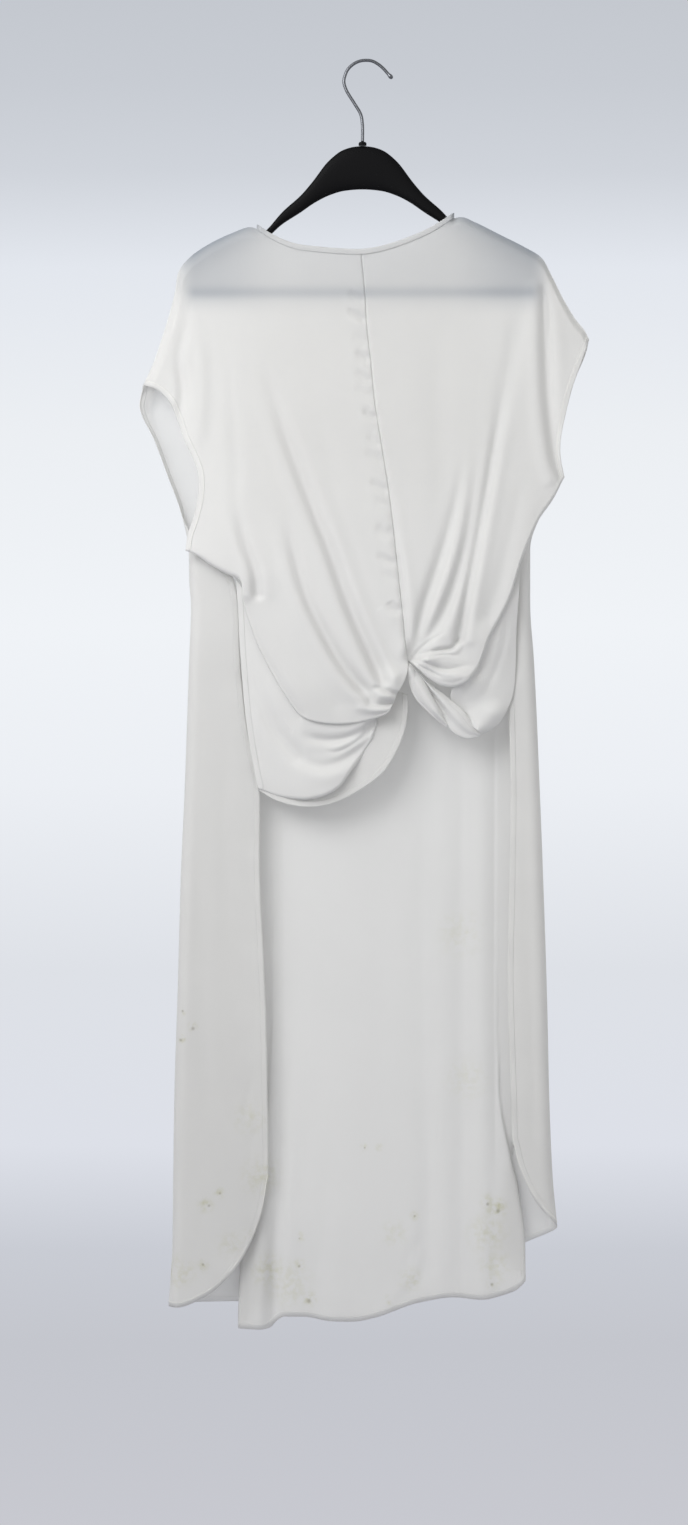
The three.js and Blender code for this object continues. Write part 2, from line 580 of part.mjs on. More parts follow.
const BACK_TOP = [...SHOULDER_LEFT.slice(0, -1), { x: NECK[0].x - 4.5, z: NECK[0].z - 4.4 },
  ...lowered(NECK.slice(1, -1), BINDING_WIDTH + SEAM_GAP + 2.6), { x: NECK[8].x + 4.5, z: NECK[8].z - 6 },
  ...SHOULDER_RIGHT.slice(0, -1).reverse()];

function backPanel(cols, rows) {
  const topX = BACK_TOP.map((row) => row.x);
  const heightAt = (x) => {
    let i = 0;
    while (i < topX.length - 2 && x > topX[i + 1]) {
      i += 1;
    }
    const t = (x - topX[i]) / (topX[i + 1] - topX[i]);
    return BACK_TOP[i].z + (BACK_TOP[i + 1].z - BACK_TOP[i].z) * Math.min(1, Math.max(0, t));
  };
  const starts = [];
  const tops = [];
  for (let c = 0; c <= cols; c += 1) {
    let z = -300;
    for (let k = 0; k < 30; k += 1) {
      const [x] = along(backSection(z), c / cols);
      z = 0.5 * z + 0.5 * heightAt(x);
    }
    starts.push(z);
    tops.push(along(backSection(z), c / cols)[0]);
  }
  const grid = [];
  for (const v of rows) {
    const line = [];
    for (let c = 0; c <= cols; c += 1) {
      const share = c / cols;
      const z = starts[c] + (column(HEM, 'share', 'z', share) - starts[c]) * v;
      const [x, y] = along(backSection(z), share);
      const drop = starts[c] - z;
      const shut = (1 - neckOpen(tops[c])) * (1 - smooth(drop / SHOULDER_RISE));
      const near = Math.min(y, FRONT_CLEAR);
      const depth = 1.15 + (near - 1.15) * (1 - shut) + (y - near) * smooth(drop / 70);
      line.push(new THREE.Vector3(x, depth, z));
    }
    grid.push(line);
  }
  return grid;
}
const BACK_ROWS = [0, 0.007, 0.016, 0.03, 0.06, 0.1, 0.14, 0.18, 0.21, 0.24, 0.27, 0.31, 0.37, 0.45, 0.54,
  0.64, 0.74, 0.82, 0.88, 0.92, 0.955, 0.98, 1];

// ---------------------------------------------------------------- binding

// A strip as wide as the binding, hanging from the neck curve, k = -1 in front and 1 behind.
function binding(k, lower, steps) {
  const curve = spline(lowered(NECK, lower));
  const rows = [];
  for (let i = 0; i <= steps; i += 1) {
    const t = 0.012 + 0.976 * (i / steps);
    const point = curve.getPointAt(t);
    const y = k * (1.3 + (FRONT_CLEAR - 1.3) * smooth(Math.min(t, 1 - t) * 240 / 8));
    rows.push([new THREE.Vector3(point.x, y, point.z),
      new THREE.Vector3(point.x, y, point.z - BINDING_WIDTH)]);
  }
  return wall(rows, BINDING);
}

// ---------------------------------------------------------------- hanger

function arms() {
  const stations = [...ARM.slice(1).reverse().map((row) => ({ ...row, x: HANGER_X - row.out })),
    ...ARM.map((row) => ({ ...row, x: HANGER_X + row.out }))];
  const rings = stations.map((row) => {
    const half = (row.top - row.bottom) / 2;
    const middle = (row.top + row.bottom) / 2;
    const ring = [];
    for (let i = 0; i < 12; i += 1) {
      const angle = (i / 12) * Math.PI * 2;
      const power = (value) => Math.sign(value) * Math.abs(value) ** 0.75;
      ring.push(new THREE.Vector3(row.x, HANGER_HALF * power(Math.cos(angle)),
        middle + half * power(Math.sin(angle))));
    }
    return ring;
  });
  return loft(rings);
}

function rod(rows, radius, steps, sides) {
  const curve = spline(rows);
  const rings = [];
  for (let r = 0; r <= steps; r += 1) {
    const centre = curve.getPointAt(r / steps);
    const tangent = curve.getTangentAt(r / steps);
    const across = new THREE.Vector3(-tangent.z, 0, tangent.x).normalize();
    const ring = [];
    for (let i = 0; i < sides; i += 1) {
      const angle = (i / sides) * Math.PI * 2;
      const point = centre.clone().addScaledVector(across, radius * Math.cos(angle));
      point.y += radius * Math.sin(angle);
      ring.push(point);
    }
    rings.push(ring);
  }
  return loft(rings);
}

function boss() {
  const rings = [[1.2, -88.2], [3.6, -88.4], [4.4, -89.4], [4.4, -92]].map(([radius, z]) => {
    const ring = [];
    for (let i = 0; i < 14; i += 1) {
      const angle = (i / 14) * Math.PI * 2;
      ring.push(new THREE.Vector3(HANGER_X + radius * Math.cos(angle), radius * Math.sin(angle), z));
    }
    return ring;
  });
  return loft(rings);
}

// ---------------------------------------------------------------- assembly

const group = new THREE.Group();
function add(name, geometry, colour, roughness, metalness) {
  const material = new THREE.MeshStandardMaterial({ color: colour, roughness, metalness });
  const mesh = new THREE.Mesh(geometry, material);
  mesh.name = name;
  group.add(mesh);
}
const IVORY = 0xdddcd8;
const BLACK = 0x18181b;
const CHROME = 0xc9ccd2;

add('back_panel', wall(backPanel(60, BACK_ROWS), CLOTH), IVORY, 0.85, 0);
add('front_left_bodice', wall(leftGrid, CLOTH), IVORY, 0.85, 0);
add('front_left_lobe', wall(lobe(16, 8), CLOTH), IVORY, 0.85, 0);
add('front_right_bodice', wall(rightGrid, CLOTH), IVORY, 0.85, 0);
add('front_right_loop', wall(loop(8, 10), CLOTH), IVORY, 0.85, 0);
add('twist_fan', wall(channel(FAN, 10, 8, 150), CLOTH), IVORY, 0.85, 0);
add('twist_tail_upper', wall(channel(TAIL_UPPER, 9, 6, 190), CLOTH), IVORY, 0.85, 0);
add('twist_tail_lower', wall(channel(TAIL_LOWER, 9, 6, 190), CLOTH), IVORY, 0.85, 0);
add('twist_knuckle', wall(channel(KNUCKLE, 7, 6, 170), CLOTH), IVORY, 0.85, 0);
add('neck_binding_front', binding(-1, 0, 26), IVORY, 0.8, 0);
add('neck_binding_back', binding(1, 1, 26), IVORY, 0.8, 0);
add('hanger_arms', arms(), BLACK, 0.4, 0);
const barRows = [{ x: HANGER_X - 185.2, z: BAR_Z }, { x: HANGER_X, z: BAR_Z }, { x: HANGER_X + 185.2, z: BAR_Z }];
add('hanger_bar', rod(barRows, BAR_RADIUS, 2, 10), BLACK, 0.4, 0);
add('hanger_boss', boss(), BLACK, 0.4, 0);
const hookRows = HOOK.map((row, i) => (i === 0 ? { x: row.x, z: -87.9 } : row));
add('hook_wire', rod(hookRows, HOOK_RADIUS, 44, 8), CHROME, 0.2, 1);

export default group;
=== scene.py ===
"""A sleeveless crepe tunic on its hanger: twisted short front, long wrapped back.

Lengths in the tables are millimetres from the hook's bearing point, x to the right,
z up and depth towards the viewer; meshes are in metres with the front facing -Y.
"""
import math

import bmesh
import bpy
import numpy as np
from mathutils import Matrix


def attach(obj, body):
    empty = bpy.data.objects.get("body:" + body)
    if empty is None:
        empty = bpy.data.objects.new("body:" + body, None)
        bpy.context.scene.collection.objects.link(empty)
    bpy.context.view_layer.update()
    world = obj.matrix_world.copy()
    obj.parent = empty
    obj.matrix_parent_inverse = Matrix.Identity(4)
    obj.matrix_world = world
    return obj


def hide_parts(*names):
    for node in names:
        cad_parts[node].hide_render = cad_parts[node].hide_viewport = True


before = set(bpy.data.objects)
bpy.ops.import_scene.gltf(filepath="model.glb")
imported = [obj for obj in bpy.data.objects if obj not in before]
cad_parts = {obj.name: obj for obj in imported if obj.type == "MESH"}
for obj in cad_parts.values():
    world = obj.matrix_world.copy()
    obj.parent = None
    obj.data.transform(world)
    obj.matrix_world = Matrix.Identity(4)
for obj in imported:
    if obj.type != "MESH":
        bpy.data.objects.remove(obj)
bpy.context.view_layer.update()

# -------- hanger
# The moulded black hanger: a deep web in the middle, two sloping arms and a round bar.
# One piece of polystyrene, half glossy from the mould; the cloth hangs over its arms.

MM = 0.001
HANGER_X = -4.4
ARM_HALF_THICKNESS = 4.5
ARM_TABLE = np.array([
    # out from the middle, top edge, bottom edge
    (0, -92.4, -140.2), (12, -93.4, -140.8), (25, -98, -142.6), (40, -111, -148),
    (54, -130.9, -155.5), (68, -147.4, -165.6), (88, -164.5, -178), (96, -174, -185),
    (103, -183, -192.5), (113, -191.5, -201), (142, -202, -215.5), (170, -211, -228),
    (185.5, -222, -240), (187, -223, -255), (195, -232, -256.5), (198, -237, -253),
])


def linear(colour):
    """An sRGB hex colour as linear RGBA: each channel by the sRGB curve."""
    c = np.array([int(colour[i:i + 2], 16) for i in (1, 3, 5)]) / 255
    c = np.where(c <= 0.04045, c / 12.92, ((c + 0.055) / 1.055) ** 2.4)
    return (*c.tolist(), 1.0)


def node(tree, kind, links=(), **settings):
    """Adds a shader node. Links are pairs of an input and a socket or a value; settings are
    its fields, or its inputs by name."""
    made = tree.nodes.new("ShaderNode" + kind)
    for key, value in settings.items():
        name = key.replace("_", " ")
        if hasattr(made, key):
            setattr(made, key, value)
        else:
            made.inputs[name].default_value = value
    for name, given in links:
        if isinstance(given, bpy.types.NodeSocket):
            tree.links.new(given, made.inputs[name])
        else:
            made.inputs[name].default_value = given
    return made


def material(name):
    """An empty node material and its tree."""
    made = bpy.data.materials.new(name)
    made.use_nodes = True
    made.node_tree.nodes.clear()
    return made, made.node_tree


def place_in(tree):
    """Where a point lies in the object's own space, as a socket."""
    return node(tree, "TexCoord").outputs["Object"]


def surface(tree, socket):
    """Makes a shader the material's surface."""
    node(tree, "OutputMaterial", [("Surface", socket)])


def piece(name, points, faces, finish, uv=None):
    """A smooth mesh object from points in millimetres and quads, at the origin."""
    mesh = bpy.data.meshes.new(name)
    mesh.from_pydata((points * MM).tolist(), [], faces.tolist())
    mesh.polygons.foreach_set("use_smooth", np.ones(len(mesh.polygons), bool))
    if uv is not None:
        loops = np.zeros(len(mesh.loops), np.int32)
        mesh.loops.foreach_get("vertex_index", loops)
        mesh.uv_layers.new(name="cloth").data.foreach_set("uv", uv[loops].ravel())
    mesh.materials.append(finish)
    mesh.update()
    made = bpy.data.objects.new(name, mesh)
    bpy.context.scene.collection.objects.link(made)
    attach(made, "root")
    return made


def tube_faces(rings, around):
    """Quads between closed rings of points: each ring's points joined to the next ring's."""
    r, a = np.meshgrid(np.arange(rings - 1), np.arange(around), indexing="ij")
    b = (a + 1) % around
    return np.stack([r * around + a, r * around + b, (r + 1) * around + b,
                     (r + 1) * around + a], -1).reshape(-1, 4)


def capped(points, finish, name):
    """A closed solid through rings of points (rings, around, 3). Each end shrinks to its
    middle, where its points are joined."""
    first = points[:1].mean(1, keepdims=True)
    last = points[-1:].mean(1, keepdims=True)
    full = np.concatenate([first + (points[:1] - first) * 1e-3, points,
                           last + (points[-1:] - last) * 1e-3])
    made = piece(name, full.reshape(-1, 3), tube_faces(len(full), full.shape[1]), finish)
    work = bmesh.new()
    work.from_mesh(made.data)
    bmesh.ops.remove_doubles(work, verts=work.verts, dist=3e-5)
    bmesh.ops.holes_fill(work, edges=work.edges, sides=0)
    bmesh.ops.recalc_face_normals(work, faces=work.faces)
    work.to_mesh(made.data)
    work.free()
    return made


# Polystyrene: black through and through, a soft broad highlight with faint moulding waviness.
plastic, tree = material("moulded black polystyrene")
here = place_in(tree)
waviness = node(tree, "TexNoise", [("Vector", here)], Scale=90.0, Detail=2.0)
dents = node(tree, "Bump", [("Height", waviness.outputs["Fac"])], Strength=0.06, Distance=0.0006)
shell = node(tree, "BsdfPrincipled", [("Normal", dents.outputs["Normal"])],
             Base_Color=linear("#060608"), Roughness=0.5, IOR=1.5, Specular_IOR_Level=0.08)
surface(tree, shell.outputs["BSDF"])

TIP_STATIONS = 16  # at each end, where the arm's edges stay sharp
ARM_SIDES = 32
SQUARENESS = 0.75  # below 1 a round section bulges towards a square


def squared(value):
    """A sine or cosine drawn out towards a square: its sign times its size to a power."""
    return np.sign(value) * np.abs(value) ** SQUARENESS


across = np.concatenate([np.linspace(-198, -187.2, 8), np.linspace(-187, -185.5, 5),
                         np.linspace(-184, 184, 150), np.linspace(185.5, 187, 5),
                         np.linspace(187.2, 198, 8)])
top = np.interp(np.abs(across), ARM_TABLE[:, 0], ARM_TABLE[:, 1])
bottom = np.interp(np.abs(across), ARM_TABLE[:, 0], ARM_TABLE[:, 2])
kernel = np.hanning(9)[1:-1] / np.hanning(9)[1:-1].sum()
inner = slice(TIP_STATIONS, -TIP_STATIONS)
top[inner] = np.convolve(top, kernel, "same")[inner]
bottom[inner] = np.convolve(bottom, kernel, "same")[inner]
turn = np.linspace(0, 2 * np.pi, ARM_SIDES + 1)[:-1]
arm_points = np.stack(np.broadcast_arrays(
    (HANGER_X + across)[:, None],
    (ARM_HALF_THICKNESS * squared(np.cos(turn)))[None],
    ((top + bottom) / 2)[:, None] + ((top - bottom) / 2)[:, None] * squared(np.sin(turn))[None],
), -1)
hanger = capped(arm_points, plastic, "hanger_moulding")
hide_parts("hanger_arms")
for name in ("hanger_bar", "hanger_boss"):
    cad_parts[name].material_slots[0].material = plastic

# -------- hook
# A question-mark hook of 3.5 mm plated steel wire with a small bead at its open end, pushed
# into the moulded boss. There it turns on the real hanger; here it stands as it was hung.

HOOK_RADIUS = 1.75
WIRE_RINGS, WIRE_SIDES = 130, 20
BEAD = (1.1, 1.28, 1.4, 1.38, 1.15, 0.6)  # radii of the last rings, in wire radii
HOOK_LINE = np.array([
    # x, z from the boss up to the open end
    (-4.4, -87.9), (-4.6, -68), (-6.5, -57.5), (-13.5, -45.5), (-22.4, -30.8), (-24.9, -22),
    (-23.8, -15.4), (-20.6, -8.4), (-14.4, -2.4), (-7, 1), (0, 1.75), (6, 1), (12, -2),
    (18.4, -7.2), (23.2, -12.6), (28.4, -18.3),
])


def spline(rows, steps=40):
    """A smooth curve through the rows: centripetal Catmull-Rom, as dense points."""
    p = np.asarray(rows, float)
    p = np.concatenate([[2 * p[0] - p[1]], p, [2 * p[-1] - p[-2]]])
    knots = np.maximum(np.linalg.norm(np.diff(p, axis=0), axis=1), 1e-6) ** 0.5
    parts = []
    for i in range(1, len(p) - 2):
        t0, t1 = 0, knots[i - 1]
        t2 = t1 + knots[i]
        t3 = t2 + knots[i + 1]
        t = np.linspace(t1, t2, steps + 1)[:-1, None]

        def mix(low, high, a, b):
            return (high - t) / (high - low) * a + (t - low) / (high - low) * b

        first, second = mix(t0, t1, p[i - 1], p[i]), mix(t1, t2, p[i], p[i + 1])
        third = mix(t2, t3, p[i + 1], p[i + 2])
        parts.append(mix(t1, t2, mix(t0, t2, first, second), mix(t1, t3, second, third)))
    return np.concatenate([*parts, p[-2:-1]])


def run_of(line):
    """The run along a line up to each of its points: the sum of the steps before it."""
    return np.concatenate([[0], np.cumsum(np.linalg.norm(np.diff(line, axis=0), axis=1))])


def at_run(where, run, values):
    """Rows of values at places along their run, straight between one row and the next."""
    return np.stack([np.interp(where, run, one) for one in values.T], -1)


def along(line, share):
    """Points of a dense line at shares of its length."""
    run = run_of(line)
    return at_run(share, run / run[-1], line)


# Worn nickel plate: a dulled grey mirror with a cool tint, blurred by drawing marks.
chrome, tree = material("bright plated wire")
shell = node(tree, "BsdfPrincipled", Base_Color=linear("#66686d"), Metallic=1.0, Roughness=0.32)
surface(tree, shell.outputs["BSDF"])

centre = along(spline(HOOK_LINE), np.linspace(0, 1, WIRE_RINGS))
tangent = np.gradient(centre, axis=0)
tangent /= np.linalg.norm(tangent, axis=1, keepdims=True)
turn = np.linspace(0, 2 * np.pi, WIRE_SIDES + 1)[:-1]
radius = HOOK_RADIUS * np.array([1] * (WIRE_RINGS - len(BEAD)) + [*BEAD])[:, None]
reach = radius * np.cos(turn)[None]
wire_points = np.stack([
    centre[:, :1] - tangent[:, 1:] * reach,
    radius * np.sin(turn)[None],
    centre[:, 1:] + tangent[:, :1] * reach,
], -1)
hook = capped(wire_points, chrome, "hook")
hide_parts("hook_wire")

# -------- back panel
# The long back: one width of ivory crepe whose sides wrap round to the front below the
# armholes. Its free edges are narrow-hemmed and its corners rounded like a shirt tail.

WALL = 0.7  # drawn thickness of the cloth
FRONT_CLEAR = 7.4  # how far the cloth stands off the hanger's plane over the arms
MEETING_GAP = 1.15  # half the space between front and back along the shoulders
SHOULDER_RISE = 11  # how far down they part from there
WRAP_DEPTH, REAR_DEPTH = 8, 18  # the wrapped sides before the hanger, the rear behind it
TUCK_LEFT, TUCK_RIGHT = -120, 159
LEVELS, AROUND = 260, 700  # level lines of the panel's form, and places on each
BACK_ROWS, BACK_COLS = 170, 285
BELOW_ARMHOLES = 60  # the first row of the panel that has a hemmed side edge
BACK_COLUMNS = ("z", "left", "wrap_left", "right", "wrap_right", "tuck_left", "tuck_right",
                "middle", "wave")
BACK_TABLE = np.array([
    (-150, -246, 0, 245, 0, -30, -30, 18, 0), (-305, -246, 0, 244, 0, -30, -30, 18, 0),
    (-355, -246, 0, 227, 0, -30, -30, 18, 0), (-376, -250, 0, 221, 0, -30, -30, 18, 0),
    (-417, -233, 0, 211, 0, -30, -30, 18, 0), (-455, -219, 0, 214, 0, -30, -30, 18, 0),
    (-493, -205, 0, 194, 12, -30, -30, 18, 0), (-535, -196, 10, 180, 22, -30, -30, 18, 0),
    (-555, -195.5, 38, 180, 24, -30, -30, 18, 0), (-572, -195, 50, 180, 26, -30, -30, 18, 0),
    (-597, -193, 52, 180, 28, -30, -30, 18, 1), (-656, -195, 56, 184, 30, -30, -30, 18, 2),
    (-729, -197.5, 66, 187.6, 31, -30, -30, 18, 3),
    (-800, -200, 82.5, 190.5, 32.5, -30, -30, 18, 3), (-890, -204, 86.8, 194, 37, -30, -30, 17, 4),
    (-1031, -208, 97, 198.6, 43.5, -30, -30, 15, 4),
    (-1138, -211.4, 102.8, 201, 42.5, -24, -24, 12, 5),
    (-1225, -212.6, 105.2, 204.6, 44.5, 8, 6, 7, 5), (-1300, -213.5, 106.5, 211, 51, 28, 22, 4, 5),
    (-1400, -219, 112, 213, 53, 34, 26, 4, 5),
])
HEM_TABLE = np.array([
    # share of the way round the panel, height of the hem
    (0, -1225), (0.01, -1262), (0.028, -1300), (0.052, -1330), (0.088, -1356), (0.13, -1369),
    (0.165, -1368), (0.26, -1366), (0.33, -1368), (0.352, -1386), (0.366, -1392.5), (0.376, -1394),
    (0.402, -1394.5), (0.416, -1393), (0.426, -1385), (0.436, -1380), (0.46, -1380), (0.5, -1385),
    (0.53, -1386), (0.56, -1382), (0.62, -1366), (0.67, -1359.5), (0.71, -1362), (0.755, -1354),
    (0.79, -1330), (0.83, -1314), (0.87, -1300), (0.91, -1287), (0.945, -1270), (0.97, -1245),
    (0.988, -1215), (1, -1186),
])
BACK_WAVES = np.array([
    # x, half width, height towards the front
    (84, 11, 0.2), (105, 8, -0.22), (127, 9, 0.28), (145, 7, -0.35), (-55, 90, 0.9),
    (20, 34, -0.1), (62, 9, -0.1),
])
SHOULDER_LEFT = [
    (-245.5, -355.3), (-234.3, -331.1), (-226, -306.9), (-217.3, -279.4), (-210.2, -251.9),
    (-206.7, -231), (-194.7, -215.6), (-174.4, -201.3), (-146.9, -188.1),
]
SHOULDER_RIGHT = [
    (244.8, -305.6), (239.3, -294.8), (229.4, -282.7), (215.1, -258.5), (203, -234.3),
    (192.4, -215.6), (174.4, -204.3), (146.9, -190.4), (119.4, -176.7),
]
NECK = np.array([
    (-122.7, -177.7), (-105, -189.8), (-80.9, -200.2), (-53.4, -204.2), (-6.1, -206.8),
    (16, -203.5), (43.5, -194.7), (71, -182.6), (98.5, -165),
])
FOLD_POINTS = 90  # places along a fold's line
RIDGE_OFF, RIDGE_WIDE, RIDGE_HIGH = 1.9, 1.3, 0.3  # beside a fold, in its own sizes
FULL_END = 0.6  # a fold weaker than this at an end fades out there
# Each fold: depth, half width, strength at its first and last point, lean of its ridges,
# and the line that it follows.
CENTRE_FOLDS = [
    (5, 8, 0.3, 1, 0, [(-92, -1060), (-96, -1200), (-100, -1300), (-101, -1400)]),
    (-2.5, 9, 0.2, 1, 0, [(-112, -1150), (-117, -1300), (-119, -1400)]),
    (1.6, 9, 0.2, 1, 0, [(60, -1110), (68, -1200), (66, -1330)]),
    (1.5, 5, 0.4, 1, 0, [(66, -1334), (48, -1354), (28, -1374)]),
    (1.1, 5, 0.5, 1, 0, [(66, -1287), (56, -1302), (45, -1318)]),
    (1.3, 12, 0.3, 0.3, 0, [(60, -880), (56, -970), (62, -1060)]),
    (0.9, 12, 0.3, 0.3, 0, [(12, -900), (18, -1030), (8, -1180)]),
    (1.0, 10, 0.3, 0.8, 0, [(-40, -1180), (-46, -1270), (-58, -1375)]),
    (0.8, 7, 0.5, 0.5, 0, [(120, -1240), (116, -1290), (122, -1340)]),
]
REAR_FOLDS = [
    # the upper back, where it falls from the hanger
    (4.2, 11, 0.3, 0.4, 0, [(-168, -300), (-160, -420), (-150, -560), (-146, -700)]),
    (3.4, 14, 0.3, 0.3, 0, [(-118, -320), (-112, -470), (-118, -640)]),
    (3.0, 10, 0.3, 0.4, 0, [(-66, -350), (-52, -500), (-46, -690)]),
    (2.2, 16, 0.3, 0.3, 0, [(-8, -310), (-12, -430), (-4, -590)]),
    (3.6, 11, 0.3, 0.4, 0, [(58, -330), (52, -480), (38, -660)]),
    (2.6, 9, 0.3, 0.3, 0, [(104, -300), (98, -400), (86, -540)]),
    (4.4, 12, 0.3, 0.4, 0, [(166, -310), (152, -430), (140, -570), (138, -720)]),
    (1.8, 8, 0.3, 0.3, 0, [(-92, -620), (-86, -740), (-90, -850)]),
    (2.0, 9, 0.3, 0.3, 0, [(12, -640), (20, -760), (16, -900)]),
]
WRAP_FOLDS = [
    (1.4, 9, 0.3, 0.5, 0, [(-152, -700), (-156, -840), (-150, -1000)]),
    (1.2, 10, 0.3, 0.6, 0, [(-176, -760), (-182, -960), (-176, -1150)]),
    (1.3, 4, 0.3, 0.5, 0, [(-122, -1110), (-131, -1138), (-131, -1170)]),
    (1.1, 4, 0.3, 0.5, 0, [(-118, -1165), (-127, -1185), (-128, -1215)]),
    (0.9, 5, 0.3, 0.5, 0, [(-160, -1245), (-176, -1262), (-186, -1290)]),
    (1.2, 7, 0.3, 0.7, 0, [(173, -760), (177, -960), (184, -1180)]),
]


def smooth(t):
    """An ease from 0 to 1: three t squared less two t cubed."""
    t = np.clip(t, 0, 1)
    return t * t * (3 - 2 * t)


def eased(x, xs, ys):
    """Values between table rows: a monotone cubic with harmonic-mean slopes."""
    xs, ys = np.asarray(xs, float), np.asarray(ys, float)
    h = np.diff(xs)
    d = np.diff(ys) / h
    inner = np.where(d[1:] * d[:-1] > 0, 2 * d[1:] * d[:-1] / (d[1:] + d[:-1] + 1e-12), 0)
    slope = np.concatenate([[0], inner, [0]])
    x = np.clip(x, xs[0], xs[-1])
    i = np.clip(np.searchsorted(xs, x, side="right") - 1, 0, len(xs) - 2)
    t = (x - xs[i]) / h[i]
    return (ys[i] * (1 + 2 * t) * (1 - t) ** 2 + ys[i + 1] * t * t * (3 - 2 * t)
            + slope[i] * h[i] * t * (1 - t) ** 2 + slope[i + 1] * h[i] * t * t * (t - 1))


def neck_open(x):
    """How far the neck edge has opened round the hanger, from its distance to the neck points."""
    return smooth(np.minimum(x - NECK[0, 0] + 2, NECK[-1, 0] + 2 - x) / 12)


def fold_depth(folds, x, z):
    """Depth of a table of folds at places on the cloth.

    Across a fold's line: a bell-shaped trough, depth times exp(-(s/w)^2), less a lower,
    wider bell on each side. Along it: from the first strength to the last, faded out at
    each weak end.
    """
    total = np.zeros_like(x)
    for depth, width, start, end, lean, points in folds:
        line = along(spline(points, 12), np.linspace(0, 1, FOLD_POINTS))
        last = FOLD_POINTS - 1
        reach = 5 * width
        box = ((x > line[:, 0].min() - reach) & (x < line[:, 0].max() + reach)
               & (z > line[:, 1].min() - reach) & (z < line[:, 1].max() + reach))
        if not box.any():
            continue
        px, pz = x[box], z[box]
        near = np.argmin((px[:, None] - line[:, 0]) ** 2 + (pz[:, None] - line[:, 1]) ** 2, 1)
        step = np.gradient(line, axis=0)
        size = np.hypot(step[:, 0], step[:, 1])
        tx, tz = (step / size[:, None])[near].T
        dx, dz = px - line[near, 0], pz - line[near, 1]
        forward = dx * tx + dz * tz
        side = dx * tz - dz * tx
        place = np.clip(near + forward / size[near], 0, last) / last
        over = np.where(near == 0, np.maximum(-forward, 0),
                        np.where(near == last, np.maximum(forward, 0), 0))
        strength = (start + (end - start) * place) * np.exp(-(over / width) ** 2)
        for share, at_end in ((place, start), (1 - place, end)):
            if at_end < FULL_END:
                strength = strength * smooth(share / 0.3)
        form = np.exp(-(side / width) ** 2)
        for k in (1, -1):
            ridge = np.exp(-((side - k * RIDGE_OFF * width) / (RIDGE_WIDE * width)) ** 2)
            form = form - RIDGE_HIGH * (1 + k * lean) * ridge
        total[box] += depth * strength * form
    return total


def column(name, z):
    """One column of the back panel's table at heights z."""
    return eased(-z, -BACK_TABLE[:, 0], BACK_TABLE[:, BACK_COLUMNS.index(name)])


def wrapped_side(edge, wrap, k):
    """Level lines of one side: from its free edge round a half circle to the back. Where
    nothing wraps round, the quarter circle behind is drawn out nearly three times as wide."""
    radius = (WRAP_DEPTH + REAR_DEPTH) / 2
    bent = np.arccos(np.clip(1 - wrap / radius, -1, 1))
    start = np.where(wrap >= radius, np.pi / 2, bent)[:, None]
    angle = start + (-np.pi / 2 - start) * np.linspace(0, 1, 24)
    wide = np.where(angle < 0, 1 + 1.8 * (1 - smooth(wrap / 8))[:, None], 1)
    x = edge[:, None] + k * radius * wide * (1 - np.cos(angle))
    y = radius - WRAP_DEPTH - radius * np.sin(angle)
    first = edge[:, None] + k * np.maximum(wrap[:, None], radius * (1 - np.cos(start)))
    return np.stack([np.concatenate([first, x], 1), np.concatenate([y[:, :1], y], 1)], -1)


def folded_part(centre, overlap, middle, k):
    """Level lines of an S-shaped fold: a soft step from the rear to the middle part, which
    doubles back on itself by the overlap."""
    steps = np.linspace(0, 1, 40)
    turn = ((REAR_DEPTH - middle) / 4 * smooth(overlap / 8))[:, None]
    swell = np.sin(2 * np.pi * steps)
    lean = np.cos(np.pi * np.clip((steps - 0.3) / 0.4, 0, 1))
    x = centre + k * (overlap[:, None] / 2 * lean + 1.3 * turn * swell)
    y = REAR_DEPTH + (middle[:, None] - REAR_DEPTH) * smooth(steps)
    return np.stack([x, y], -1)


def grid_faces(rows, cols):
    """Quads of a grid of points."""
    r, c = np.meshgrid(np.arange(rows - 1), np.arange(cols - 1), indexing="ij")
    a = r * cols + c
    return np.stack([a, a + 1, a + cols + 1, a + cols], -1).reshape(-1, 4)


def from_edge(points, edge):
    """For each point of a grid: the run along an edge to the nearest place on it, and the
    distance to it, in metres."""
    run = run_of(edge)
    fine = np.arange(0, run[-1], 1.5)
    places = at_run(fine, run, edge)
    flat = points.reshape(-1, 3)
    best = np.full(len(flat), np.inf)
    where = np.zeros(len(flat))
    batch = 40
    for i in range(0, len(places), batch):
        far = ((flat[:, None] - places[None, i:i + batch]) ** 2).sum(2)
        nearest = far.argmin(1)
        value = far[np.arange(len(flat)), nearest]
        closer = value < best
        best[closer] = value[closer]
        where[closer] = fine[i + nearest[closer]]
    return np.stack([where, np.sqrt(best)], -1) * MM


def painted_hanger_shade(points):
    """Painted shade, 0 to 1, where the black hanger behind the sheer cloth darkens its colour:
    most over an arm, fading out over some 25 mm below it; a little above the bar, more
    outwards; and a soft line along the bar."""
    x, z = points[..., 0], points[..., 2]
    out = np.abs(x - HANGER_X)
    shoulder = np.array([*SHOULDER_LEFT[4:], (-60, -148), (40, -138), *SHOULDER_RIGHT[:3:-1]])
    under = np.maximum(np.interp(x, shoulder[:, 0], shoulder[:, 1]) - z, 0)
    end = smooth((208 - out) / 26)
    arm = np.exp(-under / 10) * end
    above_bar = smooth((z + 282) / 34) * end * (0.16 + 0.2 * smooth((out - 90) / 80))
    bar = np.exp(-((z + 255) / 6) ** 2) * smooth((196 - out) / 12)
    return np.minimum(0.82 * arm + (above_bar + 0.26 * bar) * (1 - 0.7 * arm), 1)


